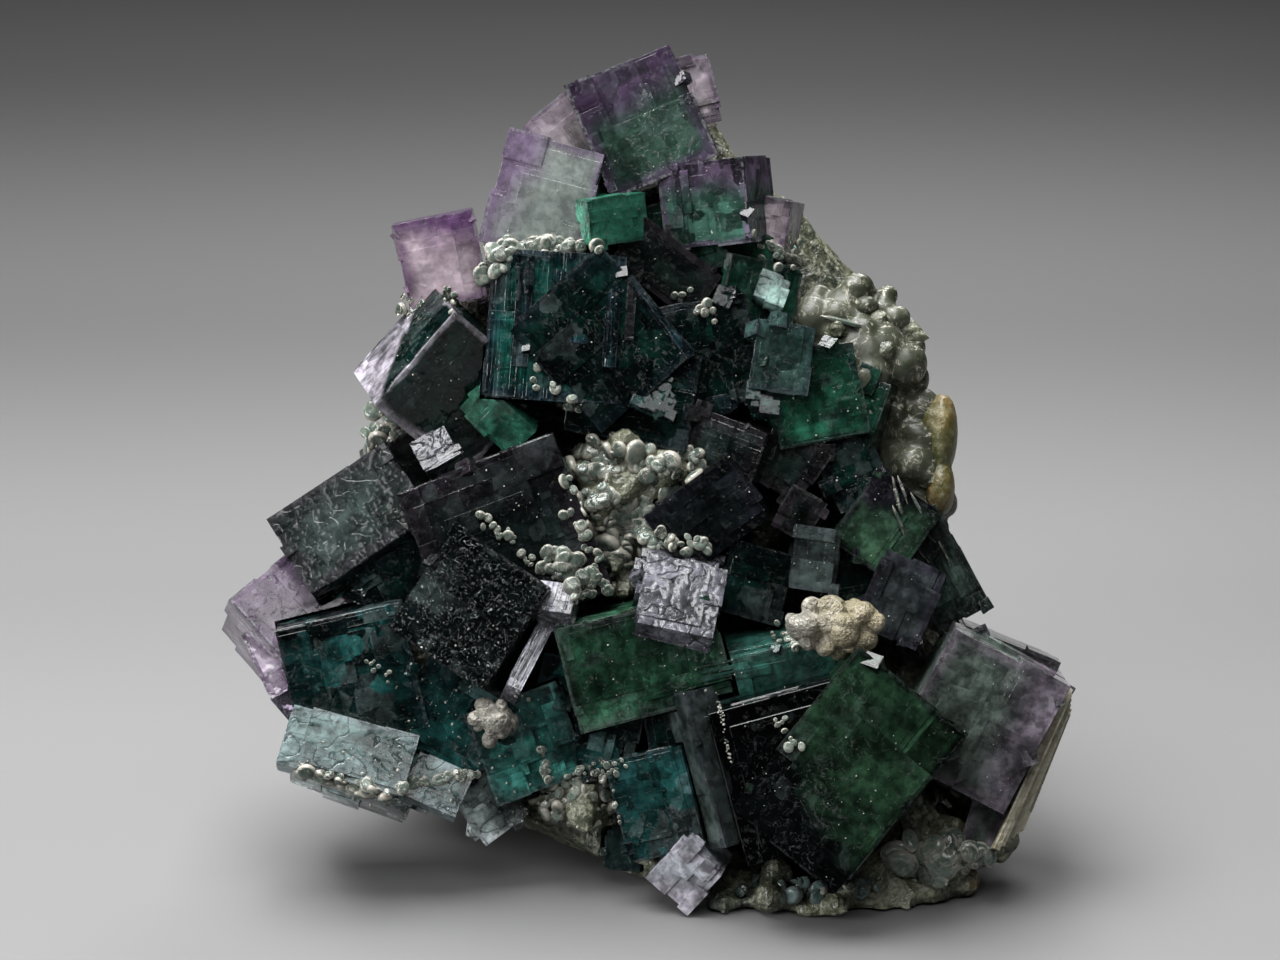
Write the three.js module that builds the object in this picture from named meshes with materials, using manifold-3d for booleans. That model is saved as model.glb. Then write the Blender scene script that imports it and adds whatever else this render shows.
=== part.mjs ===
// Cubic fluorite on quartz: a cabinet specimen about 110 mm wide.
// Millimetres, +Z up. The crystal face is modelled upright in its own frame
// (x right, y into the rock, z up) and then leans back on its cut quartz foot.
import * as THREE from 'three';
import { mergeVertices } from 'three/addons/utils/BufferGeometryUtils.js';
import Module from 'manifold-3d';

const wasm = await Module();
wasm.setup();

// ---------------------------------------------------------------- driving dimensions
const lean = 20;               // degrees that the crystal face leans back
const seam = 0.3;              // air left where two pieces meet
const floorLevel = -49.5;      // height of the flat cut under the foot, leaning frame
const stepHeight = 0.35;       // thickness of a growth step on a cube face
const stepFrom = 11;           // only cubes wider than this carry growth steps
const frontStep = { aside: 0.1, down: 0.08, wide: 0.72, high: 0.76 };      // shares of the cube
const topStep = { aside: 0.14, back: 0.1, wide: 0.66, deep: 0.7 };
const goldenAngle = 2.39996;   // radians between one quartz point and the next
const pointSunk = 0.8;         // how deep a quartz point is sunk, as a share of its radius
const pointWaist = 0.9;        // a point is widest at its shoulder, and narrower at its base
const pointShoulder = 0.55;    // where the shoulder is, as a share of its length
const blockSpan = 240;         // blocks that cut the rock are wider than the specimen
const breakDepth = 80;

// A crystal is [x, y, z, width, depth, height, turn, tip, roll]: centre and edges in mm,
// then degrees. Turn swings the front face right, tip bows it down, roll leans it clockwise.
const crownCrystals = [
  [0, 10, 47.5, 14.5, 15, 15.5, 0, 4, -23],        // big violet and green cube on top
  [5.5, 15, 51, 8, 9, 9, 8, 0, -14],               // violet cube behind it
  [-9, 12, 45.5, 9, 9, 10, 0, 0, -38],             // violet cube at its left
  [-12, 9, 37, 13, 13, 15, -6, 2, 15],             // pale lilac cube at the left
  [-4.5, 4, 34.5, 8.5, 8, 6, 24, 12, -6],          // small emerald cube
  [10.5, 7, 36.5, 11.5, 11.5, 11, -22, 3, -6],     // violet-capped cube at the right
  [18.5, 10, 33.5, 4, 8, 7.5, -15, 5, 10],
  [3.5, 8, 28.5, 13, 10, 7.5, 6, 8, 38],           // brown-violet cube standing on edge
  [6, 9, 32, 11, 9, 10, -10, 0, -15],
  [12, 10, 29, 9, 9, 9, 10, 0, 20],
];

const upperLeftCrystals = [
  [-26.5, 13, 29.5, 10.5, 10.5, 11.5, 0, 6, -11],
];

const heartCrystals = [
  [-11, 6, 19.5, 17, 14, 19, 0, -4, 4],            // dark face with upright grooves
  [-5, 5, 18, 18, 14, 16, 0, 0, 48],               // its neighbour with the long ridge
  [0, 6, 11, 16, 12, 12, -10, 0, 10],
  [8, 6, 16, 13, 12, 14, 5, 0, -12],
  [2.5, 1.5, 10.5, 4.5, 6, 6, 0, -20, 25],
  [16, 1, 10, 3, 5, 3, 0, -20, 5],
  [16.5, 3.5, 24.5, 3, 5, 4, 0, -20, 20],
  [18.5, 3, 15.5, 7.5, 9, 9, 0, -5, 8],
  [14, 8, 24, 10, 10, 10, 20, 0, 12],
  [22, 6, 11, 12, 12, 12, 10, 0, -10],
  [28, 8, 8, 9, 10, 11, -15, 0, 20],
  [27, 6, 1, 8, 9, 9, 12, 0, -25],
  [12, 3, 4, 10, 10, 8, -15, 5, 20],
  [19.5, 5, 2.5, 8, 9, 8, 0, 5, 35],
];

const shoulderCrystals = [
  [-25.5, 7, 13.5, 15.5, 15.5, 15.5, -5, 24, -50], // shoulder cube, lilac side and green front
  [-18, 4, 9.5, 5, 10, 9, -20, 10, -45],
  [-29, 9, 3, 13, 12, 9, 0, 10, -34],
  [-26, 1, 3, 5, 5, 5, 0, -30, -30],
];

const lowerLeftCrystals = [
  [-17.5, 3, -7.5, 21, 18, 21, 0, 3, -21],         // the broad violet-brown cube
  [-20.5, -4, -17, 14.5, 14, 15, -11, 0, 33],      // frosted black cube in front of it
  [-36.5, 3, -6.5, 18, 12, 11.5, 0, -25, -34],     // slate block with terraces
  [-37, 0, -25, 16, 14, 16.5, 0, 6, -12],          // teal cube
  [-36, 4, -35.5, 15.5, 12, 13, 0, -15, 20],
  [-24, 0, -31, 13, 12, 12, 0, 0, 30],
  [-19.5, 0, -41.5, 7, 8, 8.5, 0, 0, -36],
  [-15, 0, -34, 12, 12, 12, 5, 0, -20],
  [-31, 2, -14, 10, 10, 9, 0, 0, -30],
  [-28, 3, -38.5, 10, 9, 8, 0, -10, 15],
];

const farLeftCrystals = [
  [-46, 6, -18.5, 12, 15, 12, 21, -5, -42],
];

const lowerMiddleCrystals = [
  [0.5, -2, -22.5, 20, 16, 13, 0, 5, -14],
  [-6, 0, -31, 14, 12, 14, -8, 0, 12],
  [3, -3, -41, 10, 12, 13, -10, 0, -14],
  [-2, 2, -48, 5, 6, 5, 0, 0, 5],
  [6.5, -6, -49.5, 7, 8, 7, 0, 20, 41],
  [4.5, -3, -14, 10, 8, 9, 0, -35, 12],            // bright face under the druse
  [5, -1, -32, 8, 12, 12, 0, 0, -10],
];

const centreCrystals = [
  [9, 0, -4, 13, 12, 9.5, -8, 4, -36],
  [22.5, -1, -10.5, 6, 7, 8, 0, -25, 8],
  [20.5, 1, -4.5, 5, 6, 6, 0, 0, 30],
  [32, 3, -6, 10, 11, 11, 0, 0, 35],
  [34, 1, -15.5, 8.5, 10, 10.5, -5, 0, 24],
  [14, 1, -13, 9, 10, 9, 10, 0, 15],
  [38.5, 7, -11.5, 8, 12, 15, 0, 0, -28],          // receding side of the green cube
  [27, 4, -14.5, 9, 9, 8, 0, 0, -10],
];

const lowerRightCrystals = [
  [20, -8, -36, 19, 18, 20, 0, 3, -15],            // the largest cube, black at the left
  [26, -8, -36.5, 17, 19, 25.5, 0, 0, 39],         // its big green neighbour
  [43.5, -1, -30, 16, 17, 18, 0, 5, 28],           // grey-green to violet cube at the right
  [46, 6, -27, 13, 10, 13, 0, 5, 22],
  [44.6, 5, -31.5, 16.5, 9, 19, 0, 0, 30],         // pale layers along its lower right edge
  [17, -4, -23, 20, 12, 6, 0, 15, -12],
  [7, -5, -37, 5, 14, 20, 30, 0, -15],
];

// The quartz rock behind the cubes, as levels of [z, left, right, front, back].
const rockLevels = [
  [54, -3, 5, 15, 21],
  [46, -10, 11, 14, 27],
  [36, -18, 20, 12, 32],
  [26, -25, 29, 12, 36],
  [16, -29, 36, 11, 38],
  [6, -32, 39, 10, 40],
  [-4, -33, 41, 9, 41],
  [-14, -38, 41, 8, 42],
  [-24, -38, 44, 6, 42],
  [-34, -32, 45, 4, 43],
  [-44, -17, 42, -1, 42],
  [-54, 3, 41, -8, 41],
  [-66, 6, 37, -10, 40],
];
const rockCorners = 18;        // corners around each level
const rockRough = 1.5;         // mm of broken unevenness
const rockSquare = 0.65;       // 1 gives oval levels, less gives squarer ones
const strayPoints = 0.96;      // the nearer to 1, the fewer points stand on the bare rock

// Where the rock was broken flat: a point on each break, then the way the break faces.
const rockBreaks = [
  [-20, 33, 22, -0.62, 0.7, 0.42],
  [24, 33, 24, 0.55, 0.75, 0.4],
  [-33, 30, -16, -0.8, 0.6, -0.12],
  [-12, 40, -6, -0.12, 1, 0.2],
  [16, 39.5, -24, 0.2, 1, -0.18],
  [38, 33, -14, 0.75, 0.7, -0.1],
  [2, 27, 45, 0.1, 0.85, 0.5],
];

// Mounds of small quartz points: [x, y, z, across, thick, high, points, point radius].
const rockMounds = [
  [0, 5, -3, 22, 12, 24, 17, 2.4],                 // the open druse in the middle
  [28.5, 12, 16, 14.5, 10, 19, 10, 2.3],           // right rim
  [37, 14, 0.5, 9, 12, 18, 5, 2.3],
  [-13, 6, 30, 16, 8, 5, 6, 1.8],                  // row under the crown
  [-33, 10, 6, 8, 8, 10, 4, 2],
  [-28, 12, 23, 9, 8, 6, 4, 1.7],
  [37, 2, -49, 13, 14, 13, 8, 2.7],                // grey points low at the right
  [21, -2, -54, 27, 14, 6, 7, 2.1],                // druse along the foot
  [-8, 0, -39, 14, 10, 12, 7, 2],
  [18, 10, 31, 7, 6, 6, 3, 1.7],
];
const tuftMounds = [
  ['quartz_tuft_right', [24.5, -13, -18.5, 11, 7, 7, 9, 1.7]],
  ['quartz_tuft_left', [-18.5, -9.5, -30.5, 6, 4, 5.5, 5, 1.6]],
];

// ---------------------------------------------------------------- helpers
const degrees = THREE.MathUtils.degToRad;

// A repeatable scatter between 0 and 1.
function noise(n) {
  const wave = Math.sin(n * 12.9898 + 4.1414) * 43758.5453;
  return wave - Math.floor(wave);
}

function toSolid(geometry) {
  const bare = new THREE.BufferGeometry();
  bare.setAttribute('position', geometry.getAttribute('position'));
  if (geometry.index) bare.setIndex(geometry.index);
  const merged = mergeVertices(bare, 1e-4);
  return new wasm.Manifold(new wasm.Mesh({
    numProp: 3,
    vertProperties: Float32Array.from(merged.getAttribute('position').array),
    triVerts: Uint32Array.from(merged.index.array),
  }));
}

function placement([x, y, z, , , , turn, tip, roll]) {
  const spin = new THREE.Euler(degrees(tip), degrees(roll), degrees(turn), 'YXZ');
  return new THREE.Matrix4().makeRotationFromEuler(spin).setPosition(x, y, z);
}

const join = (solids) => solids.reduce((sum, next) => sum.add(next));

function largest(solid) {
  return solid.decompose().sort((a, b) => b.volume() - a.volume())[0];
}

const isStepped = ([, , , w, , h]) => Math.min(w, h) > stepFrom;

// One cube, with a low growth step on its front and its top where it is big.
function crystalSolid(crystal) {
  const [x, , , w, d, h] = crystal;
  const blocks = [[0, 0, 0, w, d, h]];
  if (isStepped(crystal)) {
    const side = noise(w + 3 * h + x) > 0.5 ? 1 : -1;
    const [front, top] = [frontStep, topStep];
    blocks.push([side * w * front.aside, -stepHeight, -h * front.down, w * front.wide, d, h * front.high]);
    blocks.push([-side * w * top.aside, d * top.back, stepHeight, w * top.wide, d * top.deep, h]);
  }
  const place = placement(crystal);
  return join(blocks.map(([bx, by, bz, bw, bd, bh]) => {
    const block = new THREE.BoxGeometry(bw, bd, bh).translate(bx, by, bz);
    return toSolid(block.applyMatrix4(place));
  }));
}

// The room that a cube needs in its neighbours: the cube, its steps and the seam.
function crystalRoom(crystal) {
  const [, , , w, d, h] = crystal;
  const room = 2 * (seam + (isStepped(crystal) ? stepHeight : 0));
  return toSolid(new THREE.BoxGeometry(w + room, d + room, h + room).applyMatrix4(placement(crystal)));
}

// A six-sided quartz point standing on its base along +Z.
function quartzPoint(radius, length) {
  const profile = [[0, 0], [radius * pointWaist, 0], [radius, length * pointShoulder], [0, length]];
  const outline = profile.map(([r, z]) => new THREE.Vector2(r, z));
  return new THREE.LatheGeometry(outline, 6).rotateX(Math.PI / 2);
}

// The same point growing out of a surface at a spot, along a direction.
function standPoint(spot, aim, radius, length) {
  const turn = new THREE.Quaternion().setFromUnitVectors(new THREE.Vector3(0, 0, 1), aim);
  const base = spot.clone().addScaledVector(aim, -radius * pointSunk);
  const place = new THREE.Matrix4().compose(base, turn, new THREE.Vector3(1, 1, 1));
  return toSolid(quartzPoint(radius, length).applyMatrix4(place));
}

// A mound of druse: a low lump bristling with points over the half that faces -Y.
function moundSolid([x, y, z, across, thick, high, points, radius]) {
  const middle = new THREE.Vector3(x, y, z);
  const size = new THREE.Vector3(across, thick, high);
  const solids = [toSolid(new THREE.IcosahedronGeometry(0.5, 1).scale(...size).translate(...middle))];
  for (let i = 0; i < points; i++) {
    const out = Math.sqrt((i + 0.5) / points);
    const angle = i * goldenAngle;
    const front = -Math.sqrt(1 - 0.8 * out * out);
    const way = new THREE.Vector3(out * Math.cos(angle), front, out * Math.sin(angle));
    const [n1, n2, n3] = [noise(i + x), noise(i * 3 + z), noise(i * 7 + y)];
    const spread = new THREE.Vector3(0.9 * (n2 - 0.5), -0.2 * front, 0.9 * (n3 - 0.5));
    const spot = way.clone().multiply(size).multiplyScalar(0.5).add(middle);
    const girth = radius * (0.7 + 0.7 * n1);
    solids.push(standPoint(spot, way.add(spread).normalize(), girth, girth * (1.8 + 0.9 * n2)));
  }
  return join(solids);
}

// What a break took off: a block that lies against the break, outside the rock.
function breakBlock([x, y, z, nx, ny, nz]) {
  const aim = new THREE.Vector3(nx, ny, nz).normalize();
  const turn = new THREE.Quaternion().setFromUnitVectors(new THREE.Vector3(0, 0, 1), aim);
  const centre = new THREE.Vector3(x, y, z).addScaledVector(aim, breakDepth / 2);
  const block = new THREE.BoxGeometry(blockSpan, blockSpan, breakDepth);
  return toSolid(block.applyQuaternion(turn).translate(...centre));
}

// The middle of a rock level.
function levelCentre([z, left, right, front, back]) {
  return new THREE.Vector3((left + right) / 2, (front + back) / 2, z);
}

// A corner of a rock level: on a rounded oblong, pushed in and out unevenly.
function rockCorner(i, j) {
  const [z, left, right, front, back] = rockLevels[i];
  const centre = levelCentre(rockLevels[i]);
  const t = (j / rockCorners) * 2 * Math.PI;
  const [c, s] = [Math.cos(t), Math.sin(t)];
  const bulge = Math.sin(3 * t + i * 0.9) + 0.7 * Math.sin(5 * t - i * 1.7);
  const bump = bulge + rockRough * (2 * noise(i * 31 + j * 17) - 1);
  return new THREE.Vector3(
    centre.x + Math.sign(c) * Math.abs(c) ** rockSquare * (right - left) / 2 + c * bump,
    centre.y + Math.sign(s) * Math.abs(s) ** rockSquare * (back - front) / 2 + s * bump,
    z + 3 * rockRough * (noise(i * 13 + j * 29) - 0.5));
}

// The rock: levels lofted into one uneven lump, closed top and bottom, then broken flat.
function rockSolid() {
  const last = rockLevels.length - 1;
  const corners = [];
  for (let i = 0; i <= last; i++) {
    for (let j = 0; j < rockCorners; j++) corners.push(rockCorner(i, j));
  }
  const at = (i, j) => i * rockCorners + (j % rockCorners);
  const faces = [];
  for (let j = 0; j < rockCorners; j++) {
    for (let i = 0; i < last; i++) {
      faces.push(at(i, j), at(i + 1, j), at(i + 1, j + 1), at(i, j), at(i + 1, j + 1), at(i, j + 1));
    }
    faces.push(corners.length, at(0, j), at(0, j + 1));
    faces.push(corners.length + 1, at(last, j + 1), at(last, j));
  }
  const lump = new THREE.BufferGeometry();
  lump.setFromPoints([...corners, levelCentre(rockLevels[0]), levelCentre(rockLevels[last])]);
  lump.setIndex(faces);
  const broken = rockBreaks.reduce((rock, edge) => rock.subtract(breakBlock(edge)), toSolid(lump));
  return join([broken, ...strayPointSolids(corners)]);
}

// A few quartz points that stand on the bare rock between its top and bottom levels.
function strayPointSolids(corners) {
  const solids = [];
  for (let k = rockCorners; k < corners.length - 2 * rockCorners; k++) {
    if (noise(k * 7.3) < strayPoints) continue;
    const out = corners[k].clone().sub(levelCentre(rockLevels[Math.floor(k / rockCorners)]));
    out.z = 8 * noise(k) - 3;
    const girth = 1.4 + 1.3 * noise(k * 3);
    solids.push(standPoint(corners[k], out.normalize(), girth, girth * 2.2));
  }
  return solids;
}

// Everything below the flat cut, to be taken off the foot.
function floorBlock() {
  const block = new THREE.BoxGeometry(blockSpan, blockSpan, blockSpan);
  return toSolid(block.translate(0, 0, floorLevel - blockSpan / 2).rotateX(degrees(lean)));
}

// ---------------------------------------------------------------- solids
const clusters = [
  ['fluorite_crown', crownCrystals, '#5a4a72'],
  ['fluorite_upper_left_cube', upperLeftCrystals, '#8c7396'],
  ['fluorite_heart', heartCrystals, '#1c2b2a'],
  ['fluorite_shoulder', shoulderCrystals, '#2c4a44'],
  ['fluorite_lower_left', lowerLeftCrystals, '#26343a'],
  ['fluorite_far_left_cube', farLeftCrystals, '#6f5a86'],
  ['fluorite_lower_middle', lowerMiddleCrystals, '#1f4038'],
  ['fluorite_centre', centreCrystals, '#2b3340'],
  ['fluorite_lower_right', lowerRightCrystals, '#2a4433'],
];

const parts = [];
let taken = floorBlock();      // what is cut away, and the room of every cube so far
for (const [name, crystals, colour] of clusters) {
  const solid = join(crystals.map(crystalSolid)).subtract(taken);
  parts.push([name, largest(solid), colour, 0.22]);
  taken = join([taken, ...crystals.map(crystalRoom)]);
}
for (const [name, mound] of tuftMounds) {
  parts.push([name, largest(moundSolid(mound).subtract(taken)), '#cfd2c8', 0.3]);
}
const rock = join([rockSolid(), ...rockMounds.map(moundSolid)]).subtract(taken);
parts.push(['quartz_matrix', largest(rock), '#9aa096', 0.5]);

// ---------------------------------------------------------------- assembly
const face = new THREE.Group();
face.rotation.x = -degrees(lean);
for (const [name, solid, colour, roughness] of parts) {
  const mesh = solid.getMesh();
  const geometry = new THREE.BufferGeometry();
  geometry.setAttribute('position', new THREE.Float32BufferAttribute(mesh.vertProperties, 3));
  geometry.setIndex(Array.from(mesh.triVerts));
  const finish = new THREE.MeshStandardMaterial({ color: colour, roughness, metalness: 0 });
  const piece = new THREE.Mesh(geometry, finish);
  piece.name = name;
  geometry.computeBoundingBox();
  const centre = geometry.boundingBox.getCenter(new THREE.Vector3());
  geometry.translate(-centre.x, -centre.y, -centre.z);
  piece.position.copy(centre);
  face.add(piece);
}

// The origin is under the middle of the whole specimen, on the flat cut.
const group = new THREE.Group();
group.add(face);
group.updateMatrixWorld(true);
const bounds = new THREE.Box3().setFromObject(group, true);
face.position.set(-(bounds.min.x + bounds.max.x) / 2, -(bounds.min.y + bounds.max.y) / 2, -bounds.min.z);

export default group;
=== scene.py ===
import math
import random

import bmesh
import bpy
import numpy as np
from mathutils import Matrix, Vector
from mathutils.bvhtree import BVHTree


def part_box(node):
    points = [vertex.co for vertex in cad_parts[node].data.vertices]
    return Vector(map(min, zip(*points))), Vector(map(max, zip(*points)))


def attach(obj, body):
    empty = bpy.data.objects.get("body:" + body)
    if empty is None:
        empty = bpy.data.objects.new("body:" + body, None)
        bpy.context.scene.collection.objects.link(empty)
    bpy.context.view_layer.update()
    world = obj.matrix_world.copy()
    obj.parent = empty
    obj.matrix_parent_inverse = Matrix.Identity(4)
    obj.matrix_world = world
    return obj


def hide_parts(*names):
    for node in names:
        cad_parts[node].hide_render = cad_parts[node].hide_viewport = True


# Cubic fluorite on quartz. Pieces are modelled in millimetres in the leaning frame of the
# crystal face (x right, y into the rock, z up), and placed in metres when they are finished.
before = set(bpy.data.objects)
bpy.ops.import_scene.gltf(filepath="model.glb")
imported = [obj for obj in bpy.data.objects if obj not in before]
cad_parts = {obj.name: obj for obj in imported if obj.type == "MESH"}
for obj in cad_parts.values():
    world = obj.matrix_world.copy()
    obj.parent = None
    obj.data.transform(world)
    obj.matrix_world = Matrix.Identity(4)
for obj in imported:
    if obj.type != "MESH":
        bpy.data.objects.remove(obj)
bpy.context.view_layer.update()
print("frame loaded:", len(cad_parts), "nodes")

# How far the crystal face leans back (degrees), the seam between two clusters, and how high
# a growth step is on cubes from this size on.
faceFrame = {"lean": 20, "seam": 0.3, "step": 0.35, "stepFrom": 11}

# placing, picking and applying

def crystalTurn(row):
    turn, tip, roll = (math.radians(a) for a in row[6:9])
    return Matrix.Rotation(roll, 4, 'Y') @ Matrix.Rotation(tip, 4, 'X') @ Matrix.Rotation(turn, 4, 'Z')


def crystalPlace(row):
    return Matrix.Translation(row[:3]) @ crystalTurn(row)


def findFaceFrame(loneCube):
    # the lone cube at the upper left is a plain box, so its low corner ties the two frames
    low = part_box("fluorite_upper_left_cube")[0]
    w, d, h = loneCube[3:6]
    lean = Matrix.Rotation(math.radians(-faceFrame["lean"]), 4, 'X')
    turn = lean @ crystalPlace(loneCube)
    corners = [turn @ Vector((sx * w / 2, sy * d / 2, sz * h / 2))
               for sx in (-1, 1) for sy in (-1, 1) for sz in (-1, 1)]
    own = Vector([min(c[i] for c in corners) for i in range(3)])
    origin = low - own / 1000
    return Matrix.Translation(origin) @ lean @ Matrix.Scale(0.001, 4)


def pickOnly(*pieces):
    bpy.ops.object.select_all(action='DESELECT')
    for piece in pieces:
        piece.select_set(True)
    bpy.context.view_layer.objects.active = pieces[0]


def addToScene(thing):
    bpy.context.scene.collection.objects.link(thing)
    return thing


def copyPiece(piece):
    twin = piece.copy()
    twin.data = piece.data.copy()
    return addToScene(twin)


def addCube(scale, **settings):
    bpy.ops.object.select_all(action='DESELECT')
    bpy.ops.mesh.primitive_cube_add(size=1, scale=scale, **settings)
    return bpy.context.object


def applyPlace(piece):
    pickOnly(piece)
    bpy.ops.object.transform_apply(location=True, rotation=True, scale=True)


def applyModifier(piece, kind, **settings):
    pickOnly(piece)
    modifier = piece.modifiers.new(kind.lower(), kind)
    for key, value in settings.items():
        setattr(modifier, key, value)
    bpy.ops.object.modifier_apply(modifier=modifier.name)


def pushOut(move):
    bpy.ops.mesh.extrude_region_move(TRANSFORM_OT_translate={"value": move})


def pickFace(piece, way):
    # selects the one face that lies furthest along a direction, and gives its area
    bpy.ops.mesh.select_all(action='DESELECT')
    mesh = bmesh.from_edit_mesh(piece.data)
    aim = Vector(way)
    face = max(mesh.faces, key=lambda f: f.calc_center_median().dot(aim))
    face.select_set(True)
    mesh.faces.active = face
    area = face.calc_area()
    bmesh.update_edit_mesh(piece.data)
    return area


def pointsOf(mesh):
    points = np.zeros(len(mesh.vertices) * 3)
    mesh.vertices.foreach_get("co", points)
    return points.reshape(-1, 3)


def writeCorners(mesh, name, values):
    # one vector for each face corner, for the materials to read
    layer = mesh.attributes.new(name, 'FLOAT_VECTOR', 'CORNER')
    layer.data.foreach_set("vector", np.asarray(values).ravel().astype(np.float32))


def linear(code):
    parts = [int(code[i:i + 2], 16) / 255 for i in (0, 2, 4)]
    return [p / 12.92 if p < 0.04045 else ((p + 0.055) / 1.055) ** 2.4 for p in parts]


def paint(code):
    return (*linear(code), 1)


# Each crystal: x, y, z, width, depth, height, turn, tip, roll, then the look it takes below.
crownCrystals = [
    [0, 10, 47.5, 14.5, 15, 15.5, 0, 4, -23, "crown"],
    [5.5, 15, 51, 8, 9, 9, 8, 0, -14, "lilac"],
    [-9, 12, 45.5, 9, 9, 10, 0, 0, -38, "lilac"],
    [-12, 9, 37, 13, 13, 15, -6, 2, 15, "pale"],
    [-4.5, 4, 34.5, 8.5, 8, 6, 24, 12, -6, "emerald"],
    [10.5, 7, 36.5, 11.5, 11.5, 11, -22, 3, -6, "capped"],
    [18.5, 10, 33.5, 4, 8, 7.5, -15, 5, 10, "lilac"],
    [3.5, 8, 28.5, 13, 10, 7.5, 6, 8, 38, "brown"],
    [6, 9, 32, 11, 9, 10, -10, 0, -15, "green"],
    [12, 10, 29, 9, 9, 9, 10, 0, 20, "green"],
]
upperLeftCrystals = [
    [-26.5, 13, 29.5, 10.5, 10.5, 11.5, 0, 6, -11, "rosy"],
]
heartCrystals = [
    [-11, 6, 19.5, 17, 14, 19, 0, -4, 4, "grooved"],
    [-5, 5, 18, 18, 14, 16, 0, 0, 48, "deep"],
    [0, 6, 11, 16, 12, 12, -10, 0, 10, "deep"],
    [8, 6, 16, 13, 12, 14, 5, 0, -12, "deep"],
    [2.5, 1.5, 10.5, 4.5, 6, 6, 0, -20, 25, "grey"],
    [16, 1, 10, 3, 5, 3, 0, -20, 5, "grey"],
    [16.5, 3.5, 24.5, 3, 5, 4, 0, -20, 20, "bright"],
    [18.5, 3, 15.5, 7.5, 9, 9, 0, -5, 8, "grey"],
    [14, 8, 24, 10, 10, 10, 20, 0, 12, "green"],
    [22, 6, 11, 12, 12, 12, 10, 0, -10, "green"],
    [28, 8, 8, 9, 10, 11, -15, 0, 20, "green"],
    [27, 6, 1, 8, 9, 9, 12, 0, -25, "deep"],
    [12, 3, 4, 10, 10, 8, -15, 5, 20, "brown"],
    [19.5, 5, 2.5, 8, 9, 8, 0, 5, 35, "brown"],
]
shoulderCrystals = [
    [-25.5, 7, 13.5, 15.5, 15.5, 15.5, -5, 24, -50, "shoulder"],
    [-18, 4, 9.5, 5, 10, 9, -20, 10, -45, "emerald"],
    [-29, 9, 3, 13, 12, 9, 0, 10, -34, "brown"],
    [-26, 1, 3, 5, 5, 5, 0, -30, -30, "silver"],
]
lowerLeftCrystals = [
    [-17.5, 3, -7.5, 21, 18, 21, 0, 3, -21, "broad"],
    [-20.5, -4, -17, 14.5, 14, 15, -11, 0, 33, "frosted"],
    [-36.5, 3, -6.5, 18, 12, 11.5, 0, -19, -34, "slate"],
    [-37, 0, -25, 16, 14, 16.5, 0, 6, -12, "teal"],
    [-36, 4, -35.5, 15.5, 12, 13, 0, -15, 20, "paleTeal"],
    [-24, 0, -31, 13, 12, 12, 0, 0, 30, "teal"],
    [-19.5, 0, -41.5, 7, 8, 8.5, 0, 0, -36, "paleTeal"],
    [-15, 0, -34, 12, 12, 12, 5, 0, -20, "sea"],
    [-31, 2, -14, 10, 10, 9, 0, 0, -30, "deep"],
    [-28, 3, -38.5, 10, 9, 8, 0, -10, 15, "paleTeal"],
]
farLeftCrystals = [
    [-46, 6, -18.5, 12, 15, 12, 21, -5, -42, "plum"],
]
lowerMiddleCrystals = [
    [0.5, -2, -22.5, 20, 16, 13, 0, 5, -14, "leaf"],
    [-6, 0, -31, 14, 12, 14, -8, 0, 12, "teal"],
    [3, -3, -41, 10, 12, 13, -10, 0, -14, "teal"],
    [-2, 2, -48, 5, 6, 5, 0, 0, 5, "grey"],
    [6.5, -6, -49.5, 7, 8, 7, 0, 20, 41, "foot"],
    [4.5, -3, -14, 10, 8, 9, 0, -35, 12, "silver"],
    [5, -1, -32, 8, 12, 12, 0, 0, -10, "deep"],
]
centreCrystals = [
    [9, 0, -4, 13, 12, 9.5, -8, 4, -36, "black"],
    [22.5, -1, -10.5, 6, 7, 8, 0, -4, 8, "ash"],
    [20.5, 1, -4.5, 5, 6, 6, 0, 0, 30, "brown"],
    [32, 3, -6, 10, 11, 11, 0, 0, 35, "capped green"],
    [34, 1, -15.5, 8.5, 10, 10.5, -5, 0, 24, "charcoal"],
    [14, 1, -13, 9, 10, 9, 10, 0, 15, "deep"],
    [38.5, 7, -11.5, 8, 12, 15, 0, 0, -28, "receding"],
    [27, 4, -14.5, 9, 9, 8, 0, 0, -10, "deep"],
]
lowerRightCrystals = [
    [20, -8, -36, 19, 18, 20, 0, 3, -15, "cavern"],
    [26, -8, -36.5, 17, 19, 25.5, 0, 0, 39, "moss"],
    [43.5, -1, -30, 16, 17, 18, 0, 5, 28, "dusk"],
    [46, 6, -27, 13, 10, 13, 0, 5, 22, "brown"],
    [44.6, 5, -31.5, 16.5, 9, 19, 0, 0, 30, "dusk"],
    [17, -4, -23, 20, 12, 6, 0, 15, -12, "ledge"],
    [7, -5, -37, 5, 14, 20, 30, 0, -15, "ash"],
]

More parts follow.
